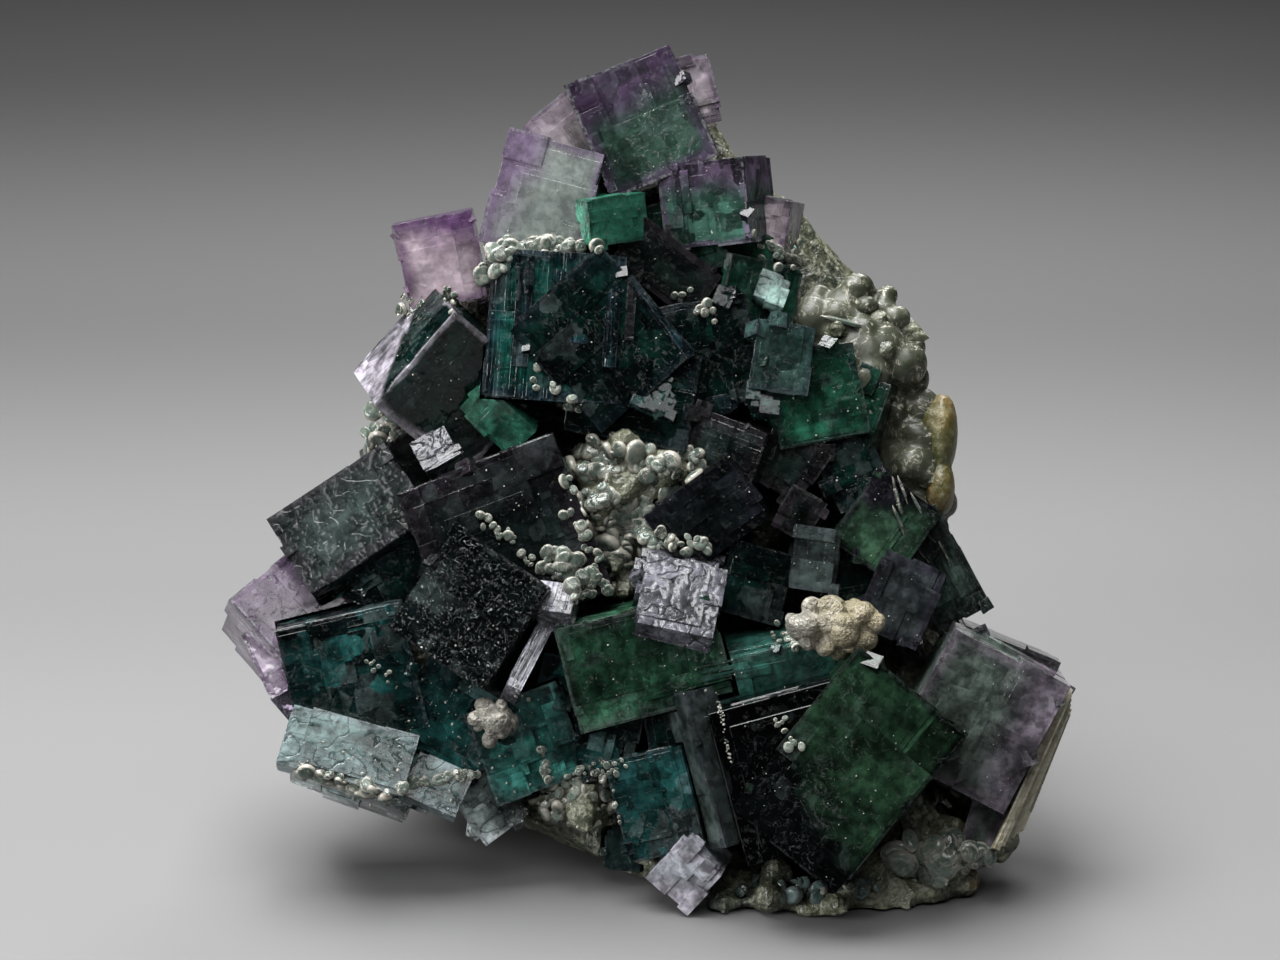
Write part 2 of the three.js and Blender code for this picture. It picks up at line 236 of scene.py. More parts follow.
# A look: core and rim colours (hex), rim width in mm, cap (the way that the rim colour
# gathers, in the crystal's own axes), then how much it has of each marking:
# veils, frost, grooves, terraces, dark windows (painted reflections of other faces),
# wavy growth lines (with a painted highlight and painted shadow), sparkle (painted glints).
crystalLooks = {
    "crown": ["3e5a4e", "624e6c", 2.0, (-0.15, 0, 0.95), 0.9, 0, 0, 0.5, 0.5, 0, 0.5],
    "lilac": ["c4b8c0", "7e6884", 1.6, (0, 0, 0.3), 0.7, 0, 0, 0.5, 0.5, 0, 0.4],
    "pale": ["969f9b", "8c7a96", 1.6, (-0.8, 0, 0.25), 0.7, 0, 0, 0.3, 0.1, 0, 0.3],
    "emerald": ["4ea588", "34705a", 0.6, (0, 0, 0), 0.3, 0, 0, 0.4, 0.3, 0, 0.3],
    "capped": ["3a5e52", "6c5c76", 1.0, (0.1, 0, 1.0), 0.6, 0, 0, 0.5, 1.0, 0, 0.3],
    "brown": ["22302c", "3a3238", 2.5, (0, 0, 0.4), 0.4, 0, 0, 0.6, 0.5, 0, 0.5],
    "green": ["245a46", "283a35", 1.5, (0, 0, 0.2), 0.4, 0, 0, 0.6, 0.5, 0, 0.7],
    "rosy": ["ecd6e2", "74547e", 1.8, (0.2, 0, 0.8), 0.8, 0, 0, 0.4, 0.1, 0, 0.4],
    "grooved": ["103a34", "1a2430", 2.5, (0.2, 0, 0.2), 0.3, 0, 1.0, 0.5, 0.6, 0, 1.0],
    "deep": ["0a2620", "141e24", 2.0, (0, 0, 0.2), 0.3, 0, 0, 0.9, 0.8, 0, 1.0],
    "grey": ["38544e", "2c3a3e", 0.8, (0, 0, 0), 0.3, 0.1, 0, 0.5, 0.2, 0, 0.4],
    "bright": ["a0c0b8", "6a8a88", 0.6, (0, 0, 0), 0.4, 0.1, 0, 0.3, 0, 0, 0.2],
    "shoulder": ["0a2420", "dcd4e2", 0.5, (-4, 3.2, 0), 0.5, 0, 0, 0.6, 0.5, 0, 0.5],
    # silver and striated: grey of an etched skin, partly a painted sheen of facets that mirror the soft box
    "silver": ["74747e", "60606a", 0.6, (0, 0, 0), 0.3, 0.05, 0, 0.3, 0.2, 1.0, 0],
    "striated": ["84848c", "70707c", 0.6, (0, 0, 0), 0.2, 0.1, 1.0, 0.3, 0, 0, 0],
    "broad": ["182322", "2c242c", 5.0, (0.1, 0, 0.5), 0.2, 0.05, 0, 0.6, 0.5, 0, 1.0],
    "frosted": ["070e0e", "0a0e10", 1.0, (0, 0, 0), 0.1, 1.0, 0, 0.4, 0.4, 0, 0.8],
    "slate": ["3a4442", "38343a", 2.0, (0, 0, 0.3), 0.3, 0.02, 0, 0.3, 0.2, 0.4, 0.4],
    "ash": ["46524f", "3c4246", 1.5, (0, 0, 0.2), 0.3, 0, 0, 0.3, 0.2, 0, 0.4],
    "slab": ["7c9492", "8c9ca0", 1.5, (0, 0, -0.4), 0.8, 0.03, 0, 0.3, 0.2, 0.7, 1.0],
    "teal": ["1c4846", "223a3e", 1.6, (0, 0, 0.2), 0.4, 0.03, 0, 0.8, 1.0, 0, 0.9],
    "paleTeal": ["c4d8d6", "c4c8cc", 1.5, (0, 0, -0.4), 1.0, 0.15, 0, 0.6, 0.6, 0.7, 0.8],
    "sea": ["448c82", "486c6a", 1.6, (0, 0, 0.2), 0.5, 0.02, 0, 0.8, 0.8, 0.2, 0.9],
    "plum": ["b8acbc", "76607f", 1.8, (0.2, 0, 0.7), 0.9, 0.05, 0, 0.5, 0.2, 0.3, 0.6],
    "leaf": ["38684e", "40584c", 1.6, (0, 0, 0.1), 0.5, 0, 0, 0.8, 0.6, 0.2, 1.0],
    "black": ["12181a", "1e1e26", 2.0, (0, 0, 0.2), 0.1, 0, 0, 0.4, 0.2, 0, 0.8],
    "charcoal": ["343a3c", "302c38", 2.0, (0, 0, 0.2), 0.1, 0, 0, 0.4, 0.3, 0, 0.3],
    "capped green": ["3c5a46", "1c1a22", 0.8, (-0.5, 0, 1.0), 0.3, 0, 0, 0.5, 0.2, 0, 0.6],
    "receding": ["3c4a44", "262c2e", 0.8, (0, 0, 0), 0.3, 0.1, 0.9, 0.5, 0.3, 0.3, 0.3],
    # near-black throughout: painted shade of the hollow at the lower right
    "cavern": ["030706", "020203", 3.0, (-1.1, 0, 0.3), 0.2, 0, 0, 0.0, 0.3, 0, 0.6],
    "moss": ["2a4632", "06090a", 0.6, (-0.3, 0, -1.2), 0.3, 0, 0, 0.4, 0.3, 0, 0.5],
    "dusk": ["6c7a72", "8c808e", 2.0, (0.9, 0, 0.1), 0.4, 0.02, 0, 0.4, 0.1, 0.1, 0.3],
    "ledge": ["3c7468", "345048", 1.0, (0, 0, 0), 0.4, 0, 0, 0.5, 0.4, 0.3, 0.8],
    "foot": ["c4c8d2", "dcd6e4", 1.0, (0.6, 0, -0.9), 0.5, 0.05, 0, 0.5, 0.1, 0, 0.4],
    "layered": ["e4dcc0", "b0a688", 0.4, (0, 0, 0), 0.5, 0.1, 0.3, 0.3, 0, 0, 0.3],
}

# Slivers that are too thin for the solids: ribs on the grooved face, bright strips beside the
# frosted cube, the pale slabs at the lower left, violet ends at the far left and lower right,
# and the bright facet at the centre.
strips = {
    "fluorite_heart": [
        [-15.2, 0.6, 21, 2.2, 4.4, 13, 0, -4, 4, "grooved"],
        [-10.8, 0.5, 19.6, 1.5, 4.6, 15, 0, -4, 3, "grooved"],
        [-7.4, 0.3, 22.5, 2.6, 4.8, 10, 0, -4, 5, "grooved"],
        [-3.6, 0, 20.4, 1.8, 5, 12, 0, -4, 4, "grooved"],
        [-1.2, 0, 21.6, 1.2, 5, 7.5, 0, -4, 4, "slate"],
        [2.6, 0, 21, 1.2, 5, 13, 0, 0, -38, "grooved"],
    ],
    "fluorite_lower_left": [
        [-14.2, -9.6, -22.8, 2.1, 5, 11.5, 0, -30, 27, "striated"],
        [-10.6, -8.2, -16.4, 4.6, 5, 4.2, -12, -34, 14, "striated"],
        [-37.4, -7.7, -35.0, 16.5, 4, 8.2, 0, -19, 15, "slab"],
        [-26.2, -5.6, -39.4, 7.5, 4, 6, 0, -20, 24, "slab"],
    ],
    "fluorite_far_left_cube": [
        [-47.6, 2.5, -25.2, 3.2, 8, 10.5, 0, -28, -28, "plum"],
    ],
    "fluorite_lower_right": [
        [44.4, -2, -43.3, 4.5, 9, 10, 0, 0, 18, "dusk"],
    ],
    "fluorite_lower_middle": [
        [5, -8.3, -16.2, 10, 5, 10.5, 0, -35, 12, "silver"],
    ],
}

# The pale layers along the lower right edge.
edgeLayers = [
    [50.2 + 0.45 * i, -3.5 + 1.5 * i, -37.4 - 0.2 * i, 0.9, 6, 23 - 1.3 * i, 0, -10, 26 - 0.5 * i, "layered"]
    for i in range(6)
]

# Small cubes grown on the edges of the large ones: how far along an edge they reach, how near
# to the edge they sit, how far they stand in, how often one is turned on its own, then for each
# cluster how many, smallest and largest in mm.
sproutHabit = {"reach": 0.48, "near": 0.97, "sunk": 0.3, "turned": 0.4}
sprouts = {
    "fluorite_crown": [12, 0.8, 2.4],
    "fluorite_upper_left_cube": [3, 0.8, 1.8],
    "fluorite_heart": [46, 0.9, 3.4],
    "fluorite_shoulder": [8, 0.8, 2.0],
    "fluorite_lower_left": [34, 0.9, 3.0],
    "fluorite_far_left_cube": [4, 0.8, 2.0],
    "fluorite_lower_middle": [24, 0.9, 2.8],
    "fluorite_centre": [22, 0.9, 2.6],
    "fluorite_lower_right": [16, 0.9, 2.4],
}


def sproutRows(name, rows):
    count, least, most = sprouts[name]
    chance = random.Random(name + " sprouts")
    grown = []
    for _ in range(count):
        parent = chance.choice(rows)
        w, d, h = parent[3:6]
        side = chance.choice((-1, 1))
        along = chance.uniform(-sproutHabit["reach"], sproutHabit["reach"])
        across, up = (side * 0.5 * w, along * h) if chance.random() < 0.5 else (along * w, side * 0.5 * h)
        size = chance.uniform(least, most) * chance.uniform(0.6, 1)
        near = sproutHabit["near"]
        spot = Vector((across * near, -d / 2 + size * sproutHabit["sunk"], up * near))
        spot = crystalPlace(parent) @ spot
        shape = [size * chance.uniform(0.8, 1.2) for _ in range(3)]
        turn = [a + chance.uniform(-4, 4) for a in parent[6:9]]
        if chance.random() < sproutHabit["turned"]:
            turn = [chance.uniform(-45, 45), chance.uniform(-40, 20), chance.uniform(-45, 45)]
        grown.append([*spot, *shape, *turn, parent[9]])
    return grown


# How a cube is put together: blocks grown parallel to it, the size of a cube that counts as a
# sprout, how far its own faces stand back, how far a block may be out of true (degrees), the
# rounding of its edges, how large a block is, how often one is at the front or set aside, then
# how far in and how high a terrace is, and how far it slides to one side.
growth = {
    "blocks": 13, "smallBlocks": 6, "sproutBlocks": 2, "sprout": 3.5, "back": 0.2, "waver": 0.9,
    "edge": 0.07, "share": (0.2, 0.92), "front": 0.7, "aside": 0.4,
    "terraceIn": (0.05, 0.13), "terraceHigh": (0.15, 0.35), "terraceSlide": 0.9,
}


def terraceFace(piece, way, rise, chance):
    # a growth terrace: the inner face is set a little to one side and raised
    aim = Vector(way)
    side = Vector((aim.z, aim.x, aim.y))
    other = aim.cross(side)
    inset = math.sqrt(pickFace(piece, way)) * chance.uniform(*growth["terraceIn"])
    bpy.ops.mesh.inset(thickness=inset, depth=0)
    far = growth["terraceSlide"]
    slide = side * chance.uniform(-far, far) * inset + other * chance.uniform(-far, far) * inset
    bpy.ops.transform.translate(value=slide)
    pushOut(aim * rise)


def growCrystal(name, row):
    w, d, h = row[3:6]
    chance = random.Random(name)
    least = min(w, h)
    big = least > faceFrame["stepFrom"]
    terraces = crystalLooks[row[9]][7]
    rise = faceFrame["step"] if big else min(0.22, least * 0.05)
    back = min(growth["back"], least * 0.03)
    cube = addCube((w - back, d - back, h - back), enter_editmode=True)
    cube.name = name
    for way in ((0, -1, 0), (0, 0, 1), (1, 0, 0), (-1, 0, 0)):
        terraceFace(cube, way, rise * chance.uniform(*growth["terraceHigh"]), chance)
    bpy.ops.object.mode_set(mode='OBJECT')
    applyModifier(cube, 'BEVEL', width=min(growth["edge"], least * 0.04), segments=1, limit_method='ANGLE')
    blocks = [cube]
    count = growth["blocks"] if big else growth["smallBlocks"]
    if least <= growth["sprout"]:
        count = growth["sproutBlocks"]
    for _ in range(round(count * min(1, 0.3 + 1.2 * terraces)) if terraces else 0):
        block = copyPiece(cube)
        share = [chance.uniform(*growth["share"]) for _ in range(3)]
        # where a block stands proud, at the faces that it is pushed against
        shift = [chance.choice((-1, 1)) for _ in range(3)]
        proud = [chance.uniform(-0.1, 1) * rise * 0.9 + back / 2 for _ in range(3)]
        if chance.random() < growth["front"]:
            shift[1] = -1
        if chance.random() < growth["aside"]:
            slip = chance.choice((0, 2))
            shift[slip] *= chance.uniform(0.1, 0.8)
            proud[slip] = 0
        move = [shift[i] * ((1 - share[i]) * row[3 + i] / 2 + proud[i]) for i in range(3)]
        tilt = Matrix.Identity(4)
        for axis in 'XYZ':
            tilt = tilt @ Matrix.Rotation(math.radians(chance.uniform(-1, 1) * growth["waver"]), 4, axis)
        block.data.transform(Matrix.Translation(move) @ tilt @ Matrix.Diagonal((*share, 1)))
        blocks.append(block)
    for block in blocks:
        tagCrystal(block, row, chance)
        block.matrix_world = crystalPlace(row)
        applyPlace(block)
    return blocks


def tagCrystal(piece, row, chance):
    # what the crystal's material reads: where a point is in its own crystal, and its look
    mesh = piece.data
    core, rim, rimWidth, cap, veil, frost, grooves, terraces, windows, waves, sparkle = crystalLooks[row[9]]
    corner = np.zeros(len(mesh.loops), int)
    mesh.loops.foreach_get("vertex_index", corner)
    spots = pointsOf(mesh)[corner]
    values = {
        "crystalSpot": spots,
        "crystalHalf": [s / 2 for s in row[3:6]],
        "coreColour": linear(core),
        "rimColour": linear(rim),
        "crystalCap": cap,
        "crystalZones": (rimWidth, veil, chance.uniform(0, 1)),
        "crystalSkin": (frost, grooves, terraces),
        "crystalMarks": (windows, waves, sparkle),
    }
    for key, value in values.items():
        writeCorners(mesh, key, np.broadcast_to(value, spots.shape))


def boolean(piece, others, operation):
    shelf = bpy.data.collections.new("operands")
    for other in others:
        shelf.objects.link(other)
    applyModifier(piece, 'BOOLEAN', operation=operation, operand_type='COLLECTION',
                  collection=shelf, solver='MANIFOLD')
    bpy.data.collections.remove(shelf)


def removePieces(*pieces):
    for piece in pieces:
        bpy.data.objects.remove(piece)


def keepLargest(piece):
    pickOnly(piece)
    bpy.ops.mesh.separate(type='LOOSE')
    loose = list(bpy.context.selected_objects)
    largest = max(loose, key=lambda p: sum(f.area for f in p.data.polygons))
    removePieces(*[p for p in loose if p != largest])
    return largest


def crystalRoom(row):
    w, d, h = row[3:6]
    stepped = min(w, h) > faceFrame["stepFrom"]
    room = 2 * (faceFrame["seam"] + (faceFrame["step"] if stepped else 0))
    piece = addCube((w + room, d + room, h + room))
    piece.matrix_world = crystalPlace(row)
    applyPlace(piece)
    return piece


def groundBlock():
    # all that lies below the flat cut under the foot
    size = 0.3
    bpy.ops.object.select_all(action='DESELECT')
    bpy.ops.mesh.primitive_cube_add(size=size, location=(0, 0, -size / 2))
    piece = bpy.context.object
    applyPlace(piece)
    piece.data.transform(toFace)
    return piece


def finishPiece(piece, name, slot, material, *nodes):
    piece.name = name
    piece.data.name = name
    piece.data.transform(toWorld)
    piece.data.materials.clear()
    piece.data.materials.append(material)
    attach(piece, "root")
    if nodes:
        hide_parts(*nodes)
    return piece


def growCluster(name, rows, taken):
    blocks = []
    for i, row in enumerate(rows):
        blocks += growCrystal(f"{name}_{i}", row)
    cluster = blocks[0]
    boolean(cluster, blocks[1:], 'UNION')
    removePieces(*blocks[1:])
    boolean(cluster, [taken], 'DIFFERENCE')
    return keepLargest(cluster)


# nodes and materials

def addNode(tree, kind, inputs=(), **settings):
    node = tree.nodes.new(kind)
    for key, value in settings.items():
        setattr(node, key, value)
    for key, value in dict(inputs).items():
        socket = node.inputs[key]
        if isinstance(value, bpy.types.NodeSocket):
            tree.links.new(value, socket)
        else:
            socket.default_value = value
    return node


def mathNode(tree, operation, a, b=0.0, c=0.0):
    return addNode(tree, 'ShaderNodeMath', {0: a, 1: b, 2: c}, operation=operation).outputs[0]


def multiply(tree, *values):
    product = values[0]
    for value in values[1:]:
        product = mathNode(tree, 'MULTIPLY', product, value)
    return product


def mixColour(tree, factor, a, b):
    return addNode(tree, 'ShaderNodeMix', {0: factor, 6: a, 7: b}, data_type='RGBA').outputs[2]


def mapRange(tree, value, low, high, toLow=0.0, toHigh=1.0, smooth=True):
    kind = 'SMOOTHSTEP' if smooth else 'LINEAR'
    return addNode(tree, 'ShaderNodeMapRange', {0: value, 1: low, 2: high, 3: toLow, 4: toHigh},
                   interpolation_type=kind).outputs[0]


def noiseNode(tree, vector, scale, detail=2.0, rough=0.5, distortion=0.0):
    return addNode(tree, 'ShaderNodeTexNoise', {
        'Vector': vector, 'Scale': scale, 'Detail': detail, 'Roughness': rough,
        'Distortion': distortion}).outputs['Fac']


def ridge(tree, value, width, level=0.5):
    # a thin line along the places where a pattern crosses a level
    away = mathNode(tree, 'ABSOLUTE', mathNode(tree, 'SUBTRACT', value, level))
    return mapRange(tree, away, 0.0, width, 1.0, 0.0)


def newGroup(name, inputs, outputs):
    group = bpy.data.node_groups.new(name, 'ShaderNodeTree')
    for label, kind, value in inputs:
        socket = group.interface.new_socket(label, in_out='INPUT', socket_type=kind)
        socket.default_value = value
    for label, kind in outputs:
        group.interface.new_socket(label, in_out='OUTPUT', socket_type=kind)
    start = group.nodes.new('NodeGroupInput')
    end = group.nodes.new('NodeGroupOutput')
    return group, start.outputs, end.inputs


def attribute(tree, name):
    return addNode(tree, 'ShaderNodeAttribute', attribute_name=name).outputs['Vector']


def split(tree, vector):
    return addNode(tree, 'ShaderNodeSeparateXYZ', {0: vector}).outputs


def vectorMath(tree, operation, a, b=(0, 0, 0)):
    node = addNode(tree, 'ShaderNodeVectorMath', {0: a, 1: b}, operation=operation)
    return node.outputs['Value' if operation == 'DOT_PRODUCT' else 'Vector']


def scaleVector(tree, vector, amount):
    return addNode(tree, 'ShaderNodeVectorMath', {0: vector, 'Scale': amount}, operation='SCALE').outputs[0]


def stretchSpot(tree, spot, scale):
    return addNode(tree, 'ShaderNodeMapping', {'Vector': spot, 'Scale': scale}).outputs[0]


def seedSpot(tree):
    # a place to read patterns at: every cube its own, every block in it a little aside
    shade = split(tree, attribute(tree, "crystalZones"))[2]
    aside = vectorMath(tree, 'MULTIPLY', (37, 53, 71), attribute(tree, "crystalHalf"))
    aside = vectorMath(tree, 'ADD', aside, scaleVector(tree, (3, 5, 2), shade))
    return vectorMath(tree, 'ADD', attribute(tree, "crystalSpot"), aside)


# Patterns that run along a cube's own height or lie across it, as their scale each way, then
# the growth lines in one wave, and the scale and line widths of the etched figures.
patterns = {
    "ribs": (1.3, 1.3, 0.035), "stripes": (2.4, 2.4, 0.05), "bands": (0.09, 0.2, 0.26), "lines": 7.0,
    "etch": 0.3, "etchShadow": 0.01, "etchGroove": 0.025,
}
# The colours that marks add to a cube: they are the same on all of them. The panes are painted reflections,
# the lip a painted highlight, the shadow painted shade, the hairs partly and the specks wholly painted
# glints, and the veil colour also paints an edge highlight.
markColours = {
    "darkPane": (0.002, 0.003, 0.004, 1), "lightPane": (0.22, 0.28, 0.28, 1), "rib": (0.3, 0.36, 0.4, 1),
    "veil": (0.42, 0.45, 0.45, 1), "litLipHighlight": (0.2, 0.23, 0.23, 1), "shadow": (0.005, 0.008, 0.008, 1),
    "hair": (0.6, 0.65, 0.66, 1), "speck": (0.5, 0.54, 0.52, 1),
}


def growthLines(tree, seed):
    # a slow wave in which every whole number is a growth line
    wave = noiseNode(tree, stretchSpot(tree, seed, patterns["bands"]), 1.0, 2)
    return multiply(tree, wave, patterns["lines"])


def etching(tree, seed, width):
    return ridge(tree, noiseNode(tree, seed, patterns["etch"], 1), width)


def buildZoneGroup():
    # colour zones of a cube: its rim and cap colour over its core, with clouds and veils inside
    group, given, out = newGroup(
        "crystalZones", [(label, 'NodeSocketFloat', 1.0) for label in ("Veil", "Cloud", "Windows")],
        [("Color", 'NodeSocketColor')])
    spot = attribute(group, "crystalSpot")
    half = attribute(group, "crystalHalf")
    seed = seedSpot(group)
    rimWidth, veilAmount, shade = split(group, attribute(group, "crystalZones"))
    frost, grooves, _ = split(group, attribute(group, "crystalSkin"))
    windowAmount, waves, sparkle = split(group, attribute(group, "crystalMarks"))

    # how far a point is from the nearest edge of its cube, made uneven
    gx, gy, gz = split(group, vectorMath(group, 'SUBTRACT', half, vectorMath(group, 'ABSOLUTE', spot)))
    low = mathNode(group, 'MINIMUM', gx, gy)
    high = mathNode(group, 'MAXIMUM', gx, gy)
    edge = mathNode(group, 'MAXIMUM', low, mathNode(group, 'MINIMUM', high, gz))
    # mask of a thin band along the crystal's outer edges, for the painted edge highlight
    line = mapRange(group, edge, 0.04, 0.14, 1.0, 0.0)
    wobble = mathNode(group, 'SUBTRACT', noiseNode(group, seed, 0.2, 3, 0.5), 0.5)
    edge = mathNode(group, 'MULTIPLY_ADD', wobble, 3.0, edge)
    rim = mapRange(group, edge, 0.0, rimWidth, 1.0, 0.0)
    along = vectorMath(group, 'DOT_PRODUCT', vectorMath(group, 'DIVIDE', spot, half),
                       attribute(group, "crystalCap"))
    along = mathNode(group, 'MULTIPLY_ADD', wobble, 0.8, along)
    cap = mapRange(group, along, 0.0, 0.75)
    rim = mathNode(group, 'MAXIMUM', multiply(group, rim, 0.8), cap)
    colour = mixColour(group, rim, attribute(group, "coreColour"), attribute(group, "rimColour"))

    # painted reflections: dark and light panes with straight sides, as where other faces are mirrored inside
    for size, share, amount in ((0.17, 0.62, 0.85), (0.5, 0.74, 0.6)):
        pane = addNode(group, 'ShaderNodeTexVoronoi', {'Vector': seed, 'Scale': size}, distance='CHEBYCHEV')
        pick = split(group, pane.outputs['Color'])
        dark = mapRange(group, pick[0], share, share + 0.02)
        dark = multiply(group, dark, windowAmount, given['Windows'], amount)
        colour = mixColour(group, dark, colour, markColours["darkPane"])
        shift = mapRange(group, pick[1], 0.0, 1.0, -0.55 * amount, 0.7 * amount, smooth=False)
        colour = scaleVector(group, colour, mathNode(group, 'MULTIPLY_ADD', shift, windowAmount, 1.0))
        light = multiply(group, mapRange(group, pick[2], 0.9, 0.91), windowAmount, given['Windows'], 0.2)
        colour = mixColour(group, light, colour, markColours["lightPane"])

    # each block has its own depth of colour; clouds and fine mottling lie over that
    cloud = mapRange(group, noiseNode(group, seed, 0.17, 2, 0.6), 0.3, 0.7, -0.6, 0.6)
    depth = mathNode(group, 'MULTIPLY_ADD', cloud, given['Cloud'], 1.0)
    shift = mapRange(group, shade, 0.0, 1.0, -0.4, 0.3, smooth=False)
    depth = multiply(group, depth, mathNode(group, 'MULTIPLY_ADD', shift, given['Cloud'], 1.0))
    mottle = mapRange(group, noiseNode(group, seed, 0.7, 2, 0.65), 0.32, 0.68, -0.45, 0.45)
    mottle = mathNode(group, 'MULTIPLY_ADD', mottle, given['Cloud'], 1.0)
    colour = scaleVector(group, colour, multiply(group, depth, mottle))

    # ribs: dark and light stripes along the crystal's own height, some of them bright lines
    ribs = noiseNode(group, stretchSpot(group, seed, patterns["ribs"]), 1.0, 3, 0.7)
    ribShade = mapRange(group, ribs, 0.35, 0.65, -0.6, 0.8)
    colour = scaleVector(group, colour, mathNode(group, 'MULTIPLY_ADD', ribShade, grooves, 1.0))
    brightRib = multiply(group, ridge(group, ribs, 0.012, 0.6), grooves, 0.4)
    colour = mixColour(group, brightRib, colour, markColours["rib"])

    # pale veils: thin wandering sheets, thick in patches
    wisp = ridge(group, noiseNode(group, seed, 0.33, 3, 0.6, 1.4), 0.035)
    ragged = mapRange(group, noiseNode(group, seed, 1.6, 2, 0.7), 0.4, 0.6)
    patch = mapRange(group, noiseNode(group, seed, 0.12, 2), 0.46, 0.62)
    veil = multiply(group, wisp, ragged, patch, veilAmount, given['Veil'], 0.7)
    # painted edge highlight: a pale line of the veil colour along the crystal's outer edges
    paintedEdgeHighlight = multiply(group, line, ragged, mapRange(group, veilAmount, 0.2, 0.9, 0.05, 0.6))
    crack = ridge(group, noiseNode(group, seed, 0.5, 2), 0.007)
    crack = multiply(group, crack, ragged, mapRange(group, veilAmount, 0.0, 1.0, 0.15, 0.6))
    pale = mathNode(group, 'MAXIMUM', mathNode(group, 'MAXIMUM', veil, paintedEdgeHighlight), crack)
    colour = mixColour(group, pale, colour, markColours["veil"])

    # wavy growth lines: a painted highlight on each lip beside a painted shadow, and painted shadow along
    # the etched figures
    step = mathNode(group, 'FRACT', growthLines(group, seed))
    litLipHighlight = multiply(group, mapRange(group, step, 0.0, 0.07, 1.0, 0.0), waves, ragged, 1.3)
    etch = multiply(group, etching(group, seed, patterns["etchShadow"]), waves, 0.9)
    shadow = mathNode(group, 'MAXIMUM', mapRange(group, step, 0.85, 1.0), etch)
    shadow = multiply(group, shadow, waves)
    colour = mixColour(group, litLipHighlight, colour, markColours["litLipHighlight"])
    colour = mixColour(group, shadow, colour, markColours["shadow"])

    # short curved pale hairs on frosted skin, partly painted glints, and tiny bright specks anywhere,
    # painted glints
    hair = ridge(group, noiseNode(group, seed, 0.8, 1, 0.5, 1.8), 0.013)
    hair = multiply(group, hair, mapRange(group, ragged, 0.3, 0.7), frost, 0.85)
    colour = mixColour(group, hair, colour, markColours["hair"])
    dots = addNode(group, 'ShaderNodeTexVoronoi', {'Vector': seed, 'Scale': 1.3})
    dot = mapRange(group, dots.outputs['Distance'], 0.05, 0.1, 1.0, 0.0)
    chosen = mapRange(group, split(group, dots.outputs['Color'])[0], 0.88, 0.9)
    speck = multiply(group, dot, chosen, sparkle, 0.7)
    colour = mixColour(group, speck, colour, markColours["speck"])
    group.links.new(colour, out['Color'])
    return group


# Heights of the skin's relief in mm, with two sizes of growth tile.
reliefs = {
    "tiles": [((2.3, 2.9, 1.9), 0.05), ((0.7, 0.8, 0.6), 0.012)], "lines": 0.16, "etch": -0.15,
    "stripes": 0.22, "pits": 0.015, "frostPits": 0.045, "bumps": 0.3,
}


def buildSkinGroup():
    # relief of a cube's skin, as a height in mm, and its roughness
    group, given, out = newGroup(
        "crystalSkin", [("Relief", 'NodeSocketFloat', 1.0)],
        [("Height", 'NodeSocketFloat'), ("Roughness", 'NodeSocketFloat')])
    seed = seedSpot(group)
    frost, grooves, terraces = split(group, attribute(group, "crystalSkin"))
    waves = split(group, attribute(group, "crystalMarks"))[1]
    heights = []

    # square growth tiles of two sizes
    bend = multiply(group, noiseNode(group, seed, 0.5, 1), 0.9)
    bent = vectorMath(group, 'ADD', seed, bend)
    for size, rise in reliefs["tiles"]:
        tile = vectorMath(group, 'FLOOR', vectorMath(group, 'DIVIDE', bent, size))
        pick = addNode(group, 'ShaderNodeTexWhiteNoise', {'Vector': tile}).outputs['Value']
        heights.append(multiply(group, pick, terraces, rise))

    # growth lines, etched figures, stripes along grooved faces, pits and a slow unevenness
    lines = mathNode(group, 'FLOOR', growthLines(group, seed))
    heights.append(multiply(group, lines, waves, reliefs["lines"]))
    etch = etching(group, seed, patterns["etchGroove"])
    heights.append(multiply(group, etch, waves, waves, reliefs["etch"]))
    stripes = noiseNode(group, stretchSpot(group, seed, patterns["stripes"]), 1.0, 2, 0.7)
    heights.append(multiply(group, stripes, grooves, reliefs["stripes"]))
    pits = noiseNode(group, seed, 1.4, 1, 0.6)
    pitted = mathNode(group, 'MULTIPLY_ADD', frost, reliefs["frostPits"], reliefs["pits"])
    heights.append(multiply(group, pits, pitted))
    bumps = noiseNode(group, seed, 0.35, 2, 0.6)
    heights.append(multiply(group, bumps, reliefs["bumps"]))
    total = heights[0]
    for height in heights[1:]:
        total = mathNode(group, 'ADD', total, height)
    group.links.new(multiply(group, total, given['Relief']), out['Height'])
    rough = mathNode(group, 'MULTIPLY_ADD', waves, 0.1, mapRange(group, bumps, 0.35, 0.7, 0.03, 0.12))
    group.links.new(mathNode(group, 'MULTIPLY_ADD', frost, 0.05, rough), out['Roughness'])
    return group


def startMaterial(name):
    material = bpy.data.materials.new(name)
    material.use_nodes = True
    material.node_tree.nodes.clear()
    return material, material.node_tree


def bumpNode(tree, height, distance):
    return addNode(tree, 'ShaderNodeBump', {
        'Height': height, 'Distance': distance, 'Strength': 1.0}).outputs[0]


refraction = {"fluorite": 1.434, "quartz": 1.544}  # index of each mineral


